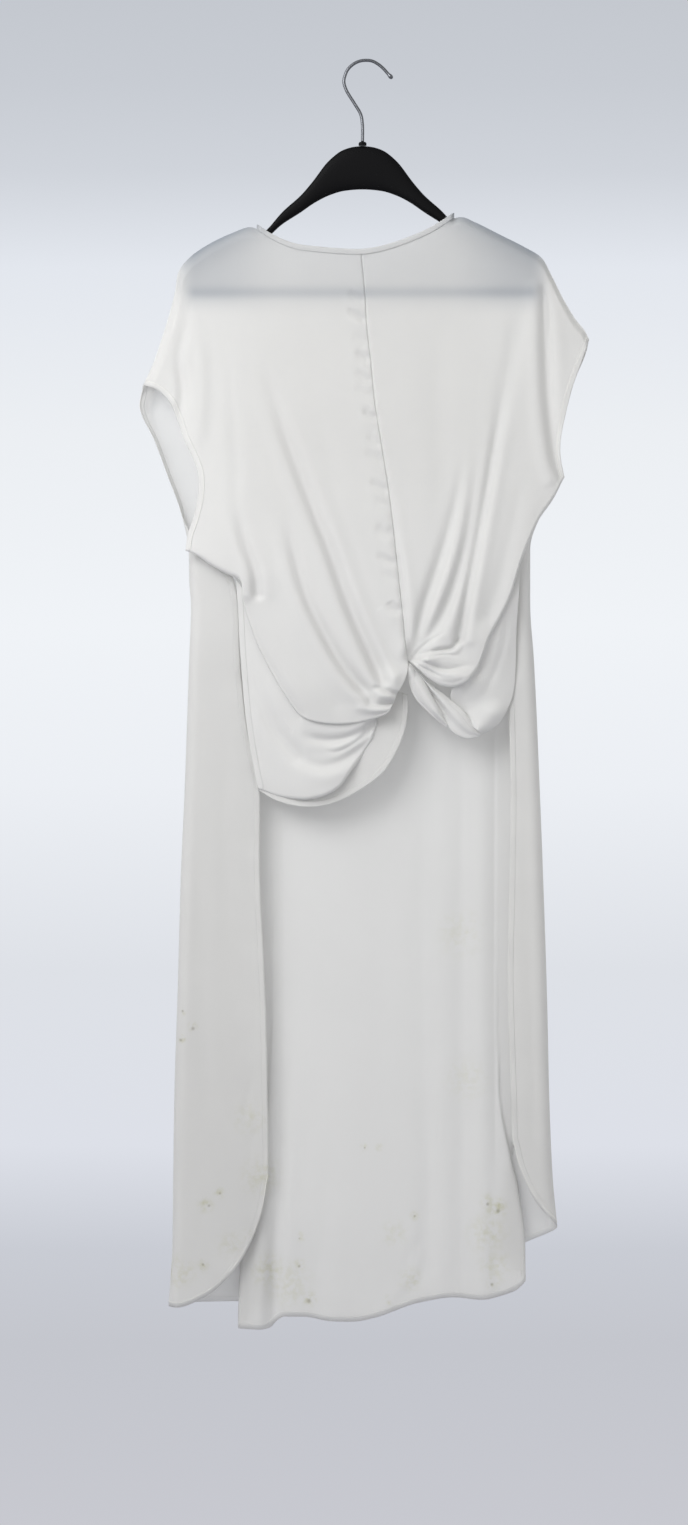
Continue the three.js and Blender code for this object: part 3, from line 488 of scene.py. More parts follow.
def single_layer(points):
    """Where the rear layer hangs alone before the light, 0 to 1: behind the armholes, and
    less so at the low corners, where it hangs in folds."""
    x, depth, z = points[..., 0], points[..., 1], points[..., 2]
    beside = smooth((depth - 8) / 6) * smooth((np.abs(x + 2) - 110) / 40)
    return beside * (smooth((z + 660) / 60) + 0.35 * smooth((-z - 1190) / 60))


def cloth(name, points, nodes, hem=None, *,
          wall=WALL, layers=1):
    """A sheet of cloth through a grid of points; its UVs are the run along its hem and the
    distance to it, in metres. Layers, one number or a grid, is 2 where it hangs doubled and
    lets less light by."""
    rows, cols = points.shape[:2]
    uv = np.tile([0.0, 1.0], (rows * cols, 1)) if hem is None else from_edge(points, hem)
    made = piece(name, points.reshape(-1, 3), grid_faces(rows, cols)[:, ::-1], crepe, uv)
    # Per point: the painted shade of the hanger behind, where one layer hangs alone, and where the
    # cloth is doubled.
    for mark, values in (("painted_hanger_shade", painted_hanger_shade(points)),
                         ("single_layer", single_layer(points)),
                         ("doubled", np.broadcast_to(layers - 1.0, (rows, cols)))):
        made.data.attributes.new(mark, "FLOAT", "POINT").data.foreach_set(
            "value", values.ravel())
    thick = made.modifiers.new("wall", "SOLIDIFY")
    thick.thickness = wall * MM
    thick.offset = 0
    if nodes:
        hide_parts(*nodes)


def unit(vectors):
    """Vectors at length 1."""
    return vectors / np.maximum(np.linalg.norm(vectors, axis=-1, keepdims=True), 1e-9)


STITCH_PITCH, STITCH_LENGTH, STITCH_HALF = 2.8, 2.1, 0.2


def edge_stitches(name, points, pick, inset=5.2, k=1):
    """A row of stitches along the top, bottom, left or right of a grid: small bars, one each
    pitch, an inset in from the edge and lying on the cloth on its side k."""
    grid = {"top": points, "bottom": points[::-1], "left": points.transpose(1, 0, 2),
            "right": points[:, ::-1].transpose(1, 0, 2)}[pick]
    inward = unit(grid[3] - grid[0])
    out = unit(np.cross(np.gradient(grid[0], axis=0), inward)) * k
    line = grid[0] + inward * inset + out * (WALL / 2 + STITCH_HALF / 2)
    run = run_of(line)
    starts = np.arange(STITCH_PITCH, run[-1] - STITCH_PITCH, STITCH_PITCH)
    a, b = at_run(starts, run, line), at_run(starts + STITCH_LENGTH, run, line)
    up = at_run(starts, run, out)
    wide = np.cross(unit(b - a), up)
    corners = [p + s * STITCH_HALF * wide + n * STITCH_HALF * up for p in (a, b)
               for s, n in ((-1, -1), (1, -1), (1, 1), (-1, 1))]
    box = np.array([(0, 1, 2, 3), (7, 6, 5, 4), (0, 4, 5, 1), (1, 5, 6, 2), (2, 6, 7, 3),
                    (3, 7, 4, 0)])
    faces = (np.arange(len(a))[:, None, None] * 8 + box[None]).reshape(-1, 4)
    made = piece(name, np.stack(corners, 1).reshape(-1, 3), faces, thread)
    made.data.polygons.foreach_set("use_smooth", np.zeros(len(faces), bool))


# Polyester crepe: a dull pebbled weave that lets some light through. The shade of the black
# hanger behind it is also painted into its colour. The grain is drawn 1.5 mm coarse, about
# three times the real one.
# Faint yellow spots lie low on the panels; hems are 6 mm wide and two layers thick.
STAINS = [
    # x, depth, z, radius, strength
    (-191, -8, -1060, 5, 0.5), (-203, -6, -1074, 4, 0.7), (-202, -6, -1046, 3, 0.4),
    (-177, -8, -1256, 8, 0.5), (-162, -8, -1243, 6, 0.4), (-179, -8, -1323, 7, 0.4),
    (-131, -8, -1289, 6, 0.4), (-74, 6, -1323, 6, 0.6), (-63, 6, -1360, 8, 0.5),
    (-73, 6, -1292, 5, 0.4), (-3, 11, -1195, 4, 0.5), (14, 11, -1195, 4, 0.4),
    (53, 8, -1270, 5, 0.4), (24, 6, -1362, 5, 0.5), (143, 6, -1262, 10, 0.7),
    (134, 6, -1254, 8, 0.5), (139, 5, -1343, 7, 0.5), (48, 6, -1340, 12, 0.35),
    # broad and faint
    (-116, -8, -1225, 19, 0.3), (-128, -8, -1160, 17, 0.22), (-206, -8, -1330, 16, 0.35),
    (-108, 6, -1330, 17, 0.35), (134, 6, -1290, 20, 0.3), (142, 5, -1325, 16, 0.3),
    (-84, 6, -1345, 22, 0.25), (30, 6, -1290, 14, 0.2), (-150, -8, -1300, 14, 0.22),
    (104, 9, -960, 24, 0.15), (110, 9, -1120, 22, 0.15),
]
SPECK_STRENGTH = 0.4
SPOT_SPREAD = 1.6  # a spot fades out over its radius times this
HEM_EDGE = (0.0055, 0.0066)  # metres in from the edge, where the turned hem steps down
LIGHT_THROUGH_ONE, LIGHT_THROUGH_TWO = 0.5, 0.42  # of the light, by one layer and by two
CLEAR_SHARE = 0.4  # of the open weave, where one layer hangs before the light
SPECKS = [
    # x, depth, z, radius
    (-74, 6, -1324.5, 1.7), (-63.4, 6, -1362.7, 2.3), (-74, 6, -1294, 1.1),
    (-161, -8, -1243.5, 1.3), (-173, -8, -1257, 1.5), (53, 8, -1270, 1.3),
    (-179.6, -8, -1321.5, 1.4), (-190.6, -8, -1062.6, 2), (-202, -6, -1043.5, 1.3),
    (-204, -6, -1075.4, 1.6), (-2, 11, -1195, 1.2), (138, 6, -1345.3, 1.7), (145, 6, -1264.6, 2.2),
    (133.4, 6, -1257, 1.8),
]
crepe, tree = material("ivory crepe")
here = place_in(tree)
grain = node(tree, "TexNoise", [("Vector", here)], Scale=700.0, Detail=2.0, Roughness=0.6)
slub = node(tree, "Mapping", [("Vector", here)], Scale=(1, 1, 0.08))
streak = node(tree, "TexNoise", [("Vector", slub.outputs["Vector"])], Scale=300.0, Detail=2.0)
edge_map = node(tree, "UVMap", uv_map="cloth")
parted = node(tree, "SeparateXYZ", [("Vector", edge_map.outputs["UV"])])
hem_step = node(tree, "MapRange", [("Value", parted.outputs["Y"])],
                interpolation_type="SMOOTHSTEP", From_Min=HEM_EDGE[0], From_Max=HEM_EDGE[1],
                To_Min=1.0, To_Max=0.0)
relief = node(tree, "Math", [(0, grain.outputs["Fac"]), (1, streak.outputs["Fac"])],
              operation="ADD")
weave = node(tree, "Bump", [("Height", relief.outputs["Value"])], Strength=0.10, Distance=0.0004)
hem_bump = node(tree, "Bump", [("Height", hem_step.outputs["Result"]),
                               ("Normal", weave.outputs["Normal"])],
                Strength=0.8, Distance=0.0006)
tone = node(tree, "TexNoise", [("Vector", here)], Scale=9.0, Detail=3.0)
pressed = node(tree, "Mapping", [("Vector", here)], Scale=(1, 0.1, 1))
marks = []
for rows in (STAINS, [(*row, SPECK_STRENGTH) for row in SPECKS]):
    spots = None
    for x, deep, z, radius, strength in rows:
        far = node(tree, "VectorMath", [(0, pressed.outputs["Vector"]),
                                        (1, (x * MM, 0.1 * deep * MM, z * MM))],
                   operation="DISTANCE")
        spot = node(tree, "MapRange", [("Value", far.outputs["Value"])],
                    interpolation_type="SMOOTHSTEP", From_Max=radius * SPOT_SPREAD * MM,
                    To_Min=strength, To_Max=0.0)
        spots = spot.outputs["Result"] if spots is None else node(
            tree, "Math", [(0, spots), (1, spot.outputs["Result"])],
            operation="MAXIMUM").outputs["Value"]
    marks.append(spots)
mottle = node(tree, "TexNoise", [("Vector", here)], Scale=160.0, Detail=3.0)
broken = node(tree, "MapRange", [("Value", mottle.outputs["Fac"])], From_Min=0.4, From_Max=0.7)
spotted = node(tree, "Math", [(0, marks[0]), (1, broken.outputs["Result"])], operation="MULTIPLY")
# Painted shade of the hanger behind the cloth, read per point.
behind = node(tree, "Attribute", attribute_name="painted_hanger_shade")


def tinted(base, share, colour, **settings):
    """A colour mixed by a share towards another one, as a socket."""
    return node(tree, "Mix", [("Factor", share), ("A", base)], data_type="RGBA",
                B=linear(colour), **settings).outputs["Result"]


ivory = tinted(linear("#eeeeee"), tone.outputs["Fac"], "#f2f2f2")
yellowed = tinted(ivory, spotted.outputs["Value"], "#cdcca2")
stained = tinted(yellowed, marks[1], "#827a5e")
# Painted shade: the colour is darkened towards blue-grey where the black hanger hangs behind the
# cloth.
with_painted_hanger_shade = tinted(stained, behind.outputs["Fac"], "#a9b0ba")
warmed = tinted(with_painted_hanger_shade, 1.0, "#f5f4f1", blend_type="MULTIPLY")
front_light = node(tree, "BsdfPrincipled",
                   [("Base Color", with_painted_hanger_shade), ("Normal", hem_bump.outputs["Normal"])],
                   Roughness=0.9, Sheen_Weight=0.1, Sheen_Roughness=0.5, Specular_IOR_Level=0.2)
back_light = node(tree, "BsdfTranslucent",
                  [("Color", warmed), ("Normal", hem_bump.outputs["Normal"])])
doubled = node(tree, "Attribute", attribute_name="doubled")
let_through = node(tree, "MapRange", [("Value", doubled.outputs["Fac"])],
                   To_Min=LIGHT_THROUGH_ONE, To_Max=LIGHT_THROUGH_TWO)
both = node(tree, "MixShader", [(0, let_through.outputs["Result"]),
                                (1, front_light.outputs["BSDF"]),
                                (2, back_light.outputs["BSDF"])])
alone = node(tree, "Attribute", attribute_name="single_layer")
open_weave = node(tree, "Math", [(0, alone.outputs["Fac"]), (1, CLEAR_SHARE)],
                  operation="MULTIPLY")
through = node(tree, "BsdfTransparent")
sheer = node(tree, "MixShader", [(0, open_weave.outputs["Value"]), (1, both.outputs["Shader"]),
                                 (2, through.outputs["BSDF"])])
surface(tree, sheer.outputs["Shader"])

# Polyester sewing thread, a shade brighter than the crepe and a little glossier.
thread, tree = material("ivory sewing thread")
here = place_in(tree)
twist = node(tree, "TexWave", [("Vector", here)], Scale=1500.0)
ply = node(tree, "Bump", [("Height", twist.outputs["Fac"])], Strength=0.3, Distance=0.0001)
strand = node(tree, "BsdfPrincipled", [("Normal", ply.outputs["Normal"])],
              Base_Color=linear("#f4f3ee"), Roughness=0.6)
surface(tree, strand.outputs["BSDF"])

levels = np.linspace(-160, -1400, LEVELS)
middle = column("middle", levels)
x = np.linspace(-92, 142, 130)
lift = sum(h * np.exp(-((x - c) / w) ** 2) for c, w, h in BACK_WAVES)
middle_part = np.stack(np.broadcast_arrays(
    x[None], middle[:, None] - lift[None] * column("wave", levels)[:, None]), -1)
lines = np.concatenate([
    wrapped_side(column("left", levels), column("wrap_left", levels), 1),
    folded_part(TUCK_LEFT, column("tuck_left", levels), middle, 1),
    middle_part,
    folded_part(TUCK_RIGHT, column("tuck_right", levels), middle, -1)[:, ::-1],
    wrapped_side(column("right", levels), column("wrap_right", levels), -1)[:, ::-1],
], 1)
sections = np.stack([along(line, np.linspace(0, 1, AROUND)) for line in lines])


def back_at(share, z):
    """Place (x, depth) of the back panel at a share of the way round and a height."""
    row = np.clip((levels[0] - z) / (levels[0] - levels[-1]) * (LEVELS - 1), 0, LEVELS - 1.001)
    col = np.clip(share * (AROUND - 1), 0, AROUND - 1.001)
    i, j = row.astype(int), col.astype(int)
    a, b = (row - i)[..., None], (col - j)[..., None]
    return ((sections[i, j] * (1 - b) + sections[i, j + 1] * b) * (1 - a)
            + (sections[i + 1, j] * (1 - b) + sections[i + 1, j + 1] * b) * a)


neck_left_start = (NECK[0, 0] - 4.5, NECK[0, 1] - 4.4)
neck_right_start = (NECK[-1, 0] + 4.5, NECK[-1, 1] - 6)
top_line = spline([*SHOULDER_LEFT, neck_left_start, *(NECK[1:-1] - (0, 3.6)),
                   neck_right_start, *SHOULDER_RIGHT[::-1]])
fractions = np.linspace(0, 1, BACK_COLS)
start_z = np.full(BACK_COLS, -300.0)
for _ in range(40):
    start_x = back_at(fractions, start_z)[:, 0]
    start_z = 0.5 * start_z + 0.5 * np.interp(start_x, top_line[:, 0], top_line[:, 1])
hem_z = eased(fractions, HEM_TABLE[:, 0], HEM_TABLE[:, 1])
z = start_z[None] + (hem_z - start_z)[None] * (np.linspace(0, 1, BACK_ROWS) ** 1.12)[:, None]
flat_place = back_at(np.broadcast_to(fractions, z.shape), z)
drop = start_z[None] - z
shut = (1 - neck_open(start_x))[None] * (1 - smooth(drop / SHOULDER_RISE))
near = np.minimum(flat_place[..., 1], FRONT_CLEAR)
depth = (MEETING_GAP + (near - MEETING_GAP) * (1 - shut)
         + (flat_place[..., 1] - near) * smooth(drop / 70))
depth = depth + fold_depth(CENTRE_FOLDS, flat_place[..., 0], z) * (depth > -2)
depth = depth + fold_depth(REAR_FOLDS, flat_place[..., 0], z) * (depth > 12)
depth = depth + fold_depth(WRAP_FOLDS, flat_place[..., 0], z) * (depth < -6)
back_points = np.stack([flat_place[..., 0], depth, z], -1)
back_hem = np.concatenate([back_points[:, 0], back_points[-1], back_points[::-1, -1]])
to_hem = from_edge(back_points, back_hem).reshape(BACK_ROWS, BACK_COLS, 2) / MM
ripple = (np.sin(to_hem[..., 0] / 9.1) + np.sin(to_hem[..., 0] / 5.7 + 1.3)
          + np.sin(to_hem[..., 0] / 14.3 + 2.1))
back_points[..., 1] += (0.45 * ripple * np.exp(-to_hem[..., 1] / 14)
                        * smooth((-z - 560) / 100))
cloth("back_panel_cloth", back_points, ["back_panel"], back_hem)
edge_stitches("back_hem_stitches", back_points, "bottom", k=-1)
edge_stitches("wrap_stitches_left", back_points[BELOW_ARMHOLES:], "left")
edge_stitches("wrap_stitches_right", back_points[BELOW_ARMHOLES:], "right", k=-1)

# -------- left front half
# Cut with the right half's mirror image, joined to it down the middle, and pulled across
# into the twist. The cloth blouses over at its lower edge and ends in three soft knuckles.

CENTRE_SEAM = np.array([
    (-6.1, -209.2), (-1.7, -255.2), (0.1, -289.3), (4.6, -331.1), (9, -375), (16, -420.2),
    (22.6, -462), (27.7, -500), (32.9, -547.8), (38.5, -600), (42.5, -640), (45, -658),
])
ARMHOLE_LEFT = [
    (-245.5, -355.3), (-229.4, -361.9), (-215.1, -376.2), (-206.7, -396.6), (-199.7, -416.9),
    (-189.8, -437.8), (-184.3, -455.4), (-184.3, -479.6), (-189.8, -503.8), (-196, -522),
    (-198, -536),
]
ARMHOLE_RIGHT = [
    (244.8, -305.6), (236, -331.1), (226.1, -358.6), (217.3, -392.7), (212.4, -420.2),
    (213, -437.8), (216.5, -455),
]
DRAPE_LEFT = [
    (-198, -536), (-183, -541), (-168, -550), (-152, -559), (-138, -566), (-135, -590),
    (-123, -630), (-107, -664), (-90.5, -692), (-74, -715), (-61, -722), (-38, -725.5),
    (-15, -724.5), (8, -719), (19, -715), (24.5, -711),
]
DRAPE_RIGHT = [
    (216.5, -455), (202, -480), (187, -503), (170, -545), (157, -588), (145, -614), (133, -637),
    (127, -655), (121, -670), (112, -681), (99, -687), (83, -686), (70, -679.5), (58, -670),
    (48.5, -663),
]
FRONT_ROWS = 240
SEAM_GAP, SEAM_GROOVE = 0.12, 0.8
ARM_CLEAR = 5.6  # the least that the front halves stand before the hanger's plane
BELLY = np.array([(-200, 0), (-300, 3), (-400, 9), (-500, 16), (-600, 20), (-740, 21)])
FRONT_FOLDS = [
    # on the left half, drawn down to the twist
    (9, 7, 0.15, 1, 0.4, [(-116, -316), (-99, -381), (-72, -457), (-40, -539), (-17, -603),
     (3, -648), (18, -681)]),
    (8.5, 6.5, 0.25, 1, 0.4, [(-92, -488), (-80, -540), (-66, -587), (-45, -631), (-24, -667),
     (4, -699)]),
    (4.5, 7, 0.5, 1, 0.9, [(-139, -601), (-125, -636), (-108.7, -664), (-92.3, -693),
     (-76, -719)]),
    (2.6, 7, 0.2, 0.5, 0.2, [(-156, -293), (-149, -357), (-143, -445), (-143, -489),
     (-134, -527)]),
    (6, 6, 0.2, 1, 0.5, [(-143, -489), (-134, -527), (-122, -562), (-119.4, -586)]),
    (7.5, 6, 0.5, 0.5, -0.4, [(-203, -262), (-203, -293), (-208, -328), (-202, -362),
     (-204, -395), (-193, -428)]),
    (-4.5, 8, 0.4, 0.5, 0, [(-186, -284), (-182, -328), (-181, -372), (-186, -440)]),
    (2.2, 12, 0.2, 0.4, 0, [(-170, -410), (-160, -455), (-172, -500)]),
    (1.3, 8, 0.1, 1, 0.3, [(-52, -430), (-22, -520), (2, -590), (26, -650), (36, -676)]),
    (1.6, 9, 0.1, 0.5, 0, [(-64, -350), (-44, -420), (-24, -470)]),
    (1.8, 10, 0.2, 0.8, 0, [(-112, -560), (-92, -620), (-66, -672), (-34, -706)]),
    (5, 3, 0.3, 1, 0, [(2, -688), (14, -690), (33, -697)]),
    (4, 3, 0.3, 1, 0, [(-4, -704), (10, -709), (27, -706)]),
    # on the right half
    (3.2, 4.5, 0.2, 1, -0.6, [(20, -440), (30, -518), (37, -562), (44, -631), (47, -655)]),
    (8, 6.5, 0.15, 1, -0.7, [(110, -416), (97, -489), (82, -545), (64, -600), (49, -655)]),
    (7.5, 7, 0.2, 1, 0, [(124, -407), (117, -470), (106, -540), (88, -596), (56, -654)]),
    (7, 5.5, 0.3, 1, -0.5, [(152, -350), (141, -416), (131, -474), (119, -540), (109, -590),
     (101, -636)]),
    (3.4, 9, 0.4, 0.5, -0.4, [(168, -262), (158, -328), (147, -381), (138, -430)]),
    (2.4, 14, 0.3, 0.6, 0, [(87, -263), (77, -357), (84, -460), (74, -560), (60, -625)]),
    (6, 7, 0.8, 1, 0.4, [(198, -250), (197, -299), (198, -342), (200, -381), (208, -439),
     (214, -456)]),
    (2.6, 9, 0.2, 1, 0, [(172, -440), (160, -510), (146, -570), (134, -610)]),
    # pleats where the right half turns under into the twist
    (4.5, 2.6, 0.6, 0.9, 0.7, [(47, -659), (60, -652.5), (79, -648), (93, -645.5), (99, -638)]),
    (5, 2.4, 0.6, 0.4, 0.6, [(48, -661), (58, -660), (70, -664), (86, -669), (102, -667),
     (114, -664)]),
    (3.6, 1.8, 0.6, 0.4, 0.6, [(49, -662), (56, -664), (70, -671.5), (84, -679)]),
    (2.8, 1.6, 0.9, 0.4, 0.5, [(48, -659.5), (62, -656.5), (84, -653), (104, -654)]),
    (2.4, 1.6, 0.9, 0.4, 0, [(50, -656), (60, -645), (72, -636), (88, -626)]),
    # puckers beside the centre seam
    *[(3.4 + 1.5 * math.sin(2.3 * i), 4.8 + 1.1 * math.sin(4.1 * i), 0.7, 0.3, 0,
       [(np.interp(top, [207, 331, 462, 600], [-6, 4.6, 22.6, 38.5]) + shift, -top + rise)
        for shift, rise in ((-5, 0), (-11, 3 + math.sin(i)), (-19 - 4 * math.sin(1.7 * i), 10))])
      for i, top in enumerate((262, 284, 309, 327, 351, 366, 392, 421, 440, 472, 489, 520,
                               552, 571, 604))],
]
# Soft round forms: x, z, half width, half height, how far each stands forward.
FRONT_ROUNDS = [
    (28, -681, 13, 12, 9), (15, -698, 17, 6.5, 8), (12, -712, 16, 5, 6),
    (102, -677, 22, 8, 8), (80, -660, 22, 5, 3), (124, -640, 14, 22, 4), (-60, -690, 36, 24, 2),
]


def patch(top, bottom, left, right, u, v):
    """A surface between four edges: each pair of edges blended, less the blend of corners."""
    edges = [spline(rows) for rows in (top, bottom, left, right)]
    a, b = along(edges[0], u)[None], along(edges[1], u)[None]
    c, d = along(edges[2], v)[:, None], along(edges[3], v)[:, None]
    u, v = u[None, :, None], v[:, None, None]
    return (a * (1 - v) + b * v + c * (1 - u) + d * u
            - (a[:, :1] * (1 - u) * (1 - v) + a[:, -1:] * u * (1 - v)
               + b[:, :1] * (1 - u) * v + b[:, -1:] * u * v))


def rolled_under(grid, radius, steps=14, last=172):
    """Rows that carry on from a grid's last row: the cloth turned under round a part circle."""
    away = grid[-1] - grid[-3]
    away[:, 1] = 0
    away = unit(away)
    turn = np.radians(np.linspace(10, last, steps))[:, None, None]
    radius = radius[None, :, None]
    roll = grid[-1][None] + away[None] * radius * np.sin(turn)
    return roll + np.array([0, 1, 0]) * radius * (1 - np.cos(turn))


def levelled(folds, most):
    """Fold depths held below a most by a hyperbolic tangent; ridges stay as they are."""
    return np.where(folds > 0, most * np.tanh(folds / most), folds)


def bodice(top, armhole, lower, seam, towards, u, v):
    """One front half as a grid of points: the surface between its four edges, pushed
    forward by the arms, a belly, the folds and the round forms."""
    flat = patch(top, lower, armhole, seam, u, v)
    drop = np.linalg.norm(flat - flat[:1], axis=2)
    x, z = flat[..., 0], flat[..., 1]
    shut = (1 - neck_open(flat[:1, :, 0])) * (1 - smooth(drop / SHOULDER_RISE))
    stand = MEETING_GAP + (FRONT_CLEAR - MEETING_GAP) * (1 - shut)
    outer = smooth((np.abs(x) - 150) / 90)
    belly = eased(-z, -BELLY[:, 0], BELLY[:, 1]) * (1 - 0.55 * outer) * smooth(drop / 60)
    belly = belly - 7 * smooth((-x - 70) / 70) * smooth((-z - 560) / 50)
    clear = smooth((drop - SHOULDER_RISE) / 30)
    rounds = sum(h * np.exp(-((x - cx) / w) ** 2 - ((z - cz) / t) ** 2)
                 for cx, cz, w, t, h in FRONT_ROUNDS)
    from_seam = np.abs(x - np.interp(-z, -CENTRE_SEAM[:, 1], CENTRE_SEAM[:, 0]))
    groove = SEAM_GROOVE * np.exp(-(from_seam / 1.3) ** 2) * (z > -655)
    folds = levelled(fold_depth(FRONT_FOLDS, x, z), 10)
    depth = stand + belly + rounds - folds * clear - groove
    depth = np.maximum(depth, np.minimum(stand, ARM_CLEAR))
    return np.stack([x + towards * SEAM_GAP * (u[None] > 0.999), -depth, z], -1)


def towards_seam(count, share):
    """Shares across a front half, closer together towards the seam: (1 - a) t + a (2 t - t^2)."""
    t = np.linspace(0, 1, count)
    return (1 - share) * t + share * (1 - (1 - t) ** 2)


neck_edge = NECK - (0, 2.4)
u = towards_seam(170, 0.28)
v = np.interp(np.linspace(0, 1, FRONT_ROWS), [0, 0.05, 0.5, 1], [0, 0.02, 0.74, 1])
left_top = [*SHOULDER_LEFT, neck_left_start, *neck_edge[1:5]]
left_seam = [*CENTRE_SEAM, (45, -670), (40, -684), (33, -696), (29, -706), (26, -712)]
left_points = bodice(left_top, ARMHOLE_LEFT, DRAPE_LEFT, left_seam, -1, u, v)
left_roll = rolled_under(left_points, 2.4 + 3 * smooth(u / 0.08) - 3.2 * smooth((u - 0.2) / 0.1)
                         + 1 * smooth((u - 0.8) / 0.2))
left_points = np.concatenate([left_points, left_roll])


def gathered_layers(points):
    """Layers of a front half: one down to the waist, two where it gathers to the twist."""
    return 1 + 0.8 * smooth((-points[..., 2] - 400) / 180)


cloth("front_left_cloth", left_points, ["front_left_bodice", "twist_knuckle"],
      left_points[:FRONT_ROWS, 0],
      layers=gathered_layers(left_points))
edge_stitches("armhole_stitches_left", left_points[:FRONT_ROWS], "left")

# -------- right front half
# The mirror cut in the same crepe, sewn to the left half down the middle. It is drawn to
# the left and tucked under itself in pleats at the twist.

u = towards_seam(165, 0.25)
right_top = [*SHOULDER_RIGHT, neck_right_start, *neck_edge[4:8][::-1]]
right_points = bodice(right_top, ARMHOLE_RIGHT, DRAPE_RIGHT, CENTRE_SEAM, 1, u, v)
right_roll = rolled_under(right_points, 2.4 + 2.6 * smooth(u / 0.08)
                          - 3.6 * smooth((u - 0.84) / 0.16))
right_points = np.concatenate([right_points, right_roll])
cloth("front_right_cloth", right_points[:, ::-1], ["front_right_bodice", "twist_fan"],
      right_points[:FRONT_ROWS, 0],
      layers=gathered_layers(right_points[:, ::-1]))
edge_stitches("armhole_stitches_right", right_points[:FRONT_ROWS, ::-1], "right", k=-1)

# -------- lower left lobe
# The left half below its fold: a swag from the side seam up into the twist. Its front layer
# turns under at a soft edge, and the hem hangs out below that.

LOBE_TOP = [
    (-143, -568), (-124, -600), (-104, -632), (-84, -664), (-60, -690), (-26, -700), (0, -702),
    (14, -704),
]
LOBE_FOLD = [
    (-119.3, -798), (-97, -804), (-66.5, -807), (-45.4, -802), (-31.3, -793), (-19.5, -777),
    (-5.5, -758), (6.3, -737), (12, -722),
]
LOBE_HEM = [
    (-119.3, -800), (-101.7, -811), (-78, -818), (-61.8, -819), (-43, -816.8), (-24.2, -809.7),
    (-3.1, -798), (18, -781.6), (32, -760.5), (41.5, -737), (45, -713.5), (45, -696),
]
LOBE_INSIDE = [
    (-119, -792), (-97, -795), (-66, -796), (-45, -790), (-31, -780), (-19, -764), (-5, -745),
    (6, -722), (16, -700), (24, -690),
]
SIDE_SEAM_LEFT = [
    (-143, -568), (-141, -600), (-138.2, -655.6), (-131.5, -729.3), (-124.6, -772), (-119.3, -798),
]
LOBE_FOLDS = [
    (6, 4.5, 0.25, 1, 0.5, [(-76, -734), (-66, -741), (-50, -745.5), (-24, -744.5),
     (-5.5, -736.5), (9, -724)]),
    (6, 6, 0.25, 1, 0.5, [(-80, -758), (-70, -767), (-60, -772), (-43, -774.5), (-24, -767.5),
     (-5.5, -751), (9, -729)]),
    (4, 3, 0.3, 1, 0, [(-50, -757), (-34, -759), (-18, -752), (-2, -740), (9, -726)]),
    (3, 5, 0.3, 1, 0, [(-16, -776), (-2, -757), (6, -740), (11, -724)]),
    (4, 8, 0.3, 0.8, -0.4, [(-135, -650), (-127, -676), (-118, -697), (-97, -738), (-76, -764)]),
    (2.4, 6, 0.3, 0.5, 0, [(-131, -690), (-124, -740), (-112, -784)]),
]


def from_lower_edge(front, x, z, behind):
    """For places on a lower piece: the distance to the front half's lower edge, and the
    depth of the nearest place on that edge less a step behind it."""
    edge = front[FRONT_ROWS - 1]
    away = np.hypot(x[..., None] - edge[:, 0], z[..., None] - edge[:, 2])
    return away.min(2), -edge[:, 1][away.argmin(2)] - behind


def between(first, second, along_them, across):
    """A grid of points straight across from one line to another."""
    a, b = (along(spline(rows), along_them)[None] for rows in (first, second))
    return a + (b - a) * across[:, None, None]


u = np.linspace(0, 1, 190)
v = np.linspace(0, 1, 130)
flat = patch(LOBE_TOP, LOBE_FOLD, SIDE_SEAM_LEFT, [(14, -704), (14, -714), (12, -722)], u, v)
x, z = flat[..., 0], flat[..., 1]
swell = np.sin(np.pi * smooth(u * 1.05))[None] * (0.5 + 14 * smooth((v - 0.5) / 0.45))[:, None]
away, behind_edge = from_lower_edge(left_points, x, z, 4.5)
depth = 13 + swell * smooth(u / 0.25)[None] + 3 * smooth(x / 20)
close = np.exp(-(away / 36) ** 2) * smooth((x + 146) / 30)
depth = depth + (behind_edge - depth) * close - levelled(fold_depth(LOBE_FOLDS, x, z), 7)
lobe_points = np.stack([x, -depth, z], -1)
lobe_roll = rolled_under(lobe_points, 0.8 + 3.4 * smooth(u / 0.15), 12, 160)
cloth("front_left_lower_cloth", np.concatenate([lobe_points, lobe_roll]), ["front_left_lobe"],
      lobe_points[:, 0], layers=2)
u = np.linspace(0, 1, 150)
v = np.linspace(0, 1, 24)
flat = between(LOBE_INSIDE, LOBE_HEM, u, v)
depth = (9.5 + 6 * smooth(u / 0.35) - 2 * smooth((u - 0.6) / 0.4))[None] + 2 * v[:, None]
hem_points = np.stack([flat[..., 0], -depth, flat[..., 1]], -1)
cloth("front_left_hem_cloth", hem_points, (), hem_points[-1])
edge_stitches("lobe_hem_stitches", hem_points, "bottom", k=-1)

# -------- right loop
# The right half below its fold: it falls from the side seam, turns up in a soft loop and
# runs back to the twist as two flat strands with the hem along them.

LOOP_INNER = [(150, -545), (136, -590), (120, -628), (104, -660), (94, -685), (92, -702),
              (100, -716), (112, -728)]
LOOP_OUTER = [(170, -545), (166, -592), (164, -630), (163.5, -665), (161, -695), (154, -713),
              (143, -730), (126, -740)]
LOOP_FOLDS = [
    (3.5, 6, 0.5, 0.4, 0, [(143, -622), (133, -650), (118, -678), (100, -705)]),
    (2.5, 4, 0.4, 0.3, 0, [(153, -600), (150, -640), (138, -676), (122, -706)]),
]
u, v = np.linspace(0, 1, 80), np.linspace(0, 1, 140)
flat = between(LOOP_INNER, LOOP_OUTER, v, u).transpose(1, 0, 2)
x, z = flat[..., 0], flat[..., 1]
swell = (1.5 + 8 * smooth(v * 1.6 - 0.6))[:, None] * np.sin(np.pi * u ** 1.4)[None]
away, behind_edge = from_lower_edge(right_points, x, z, 7)
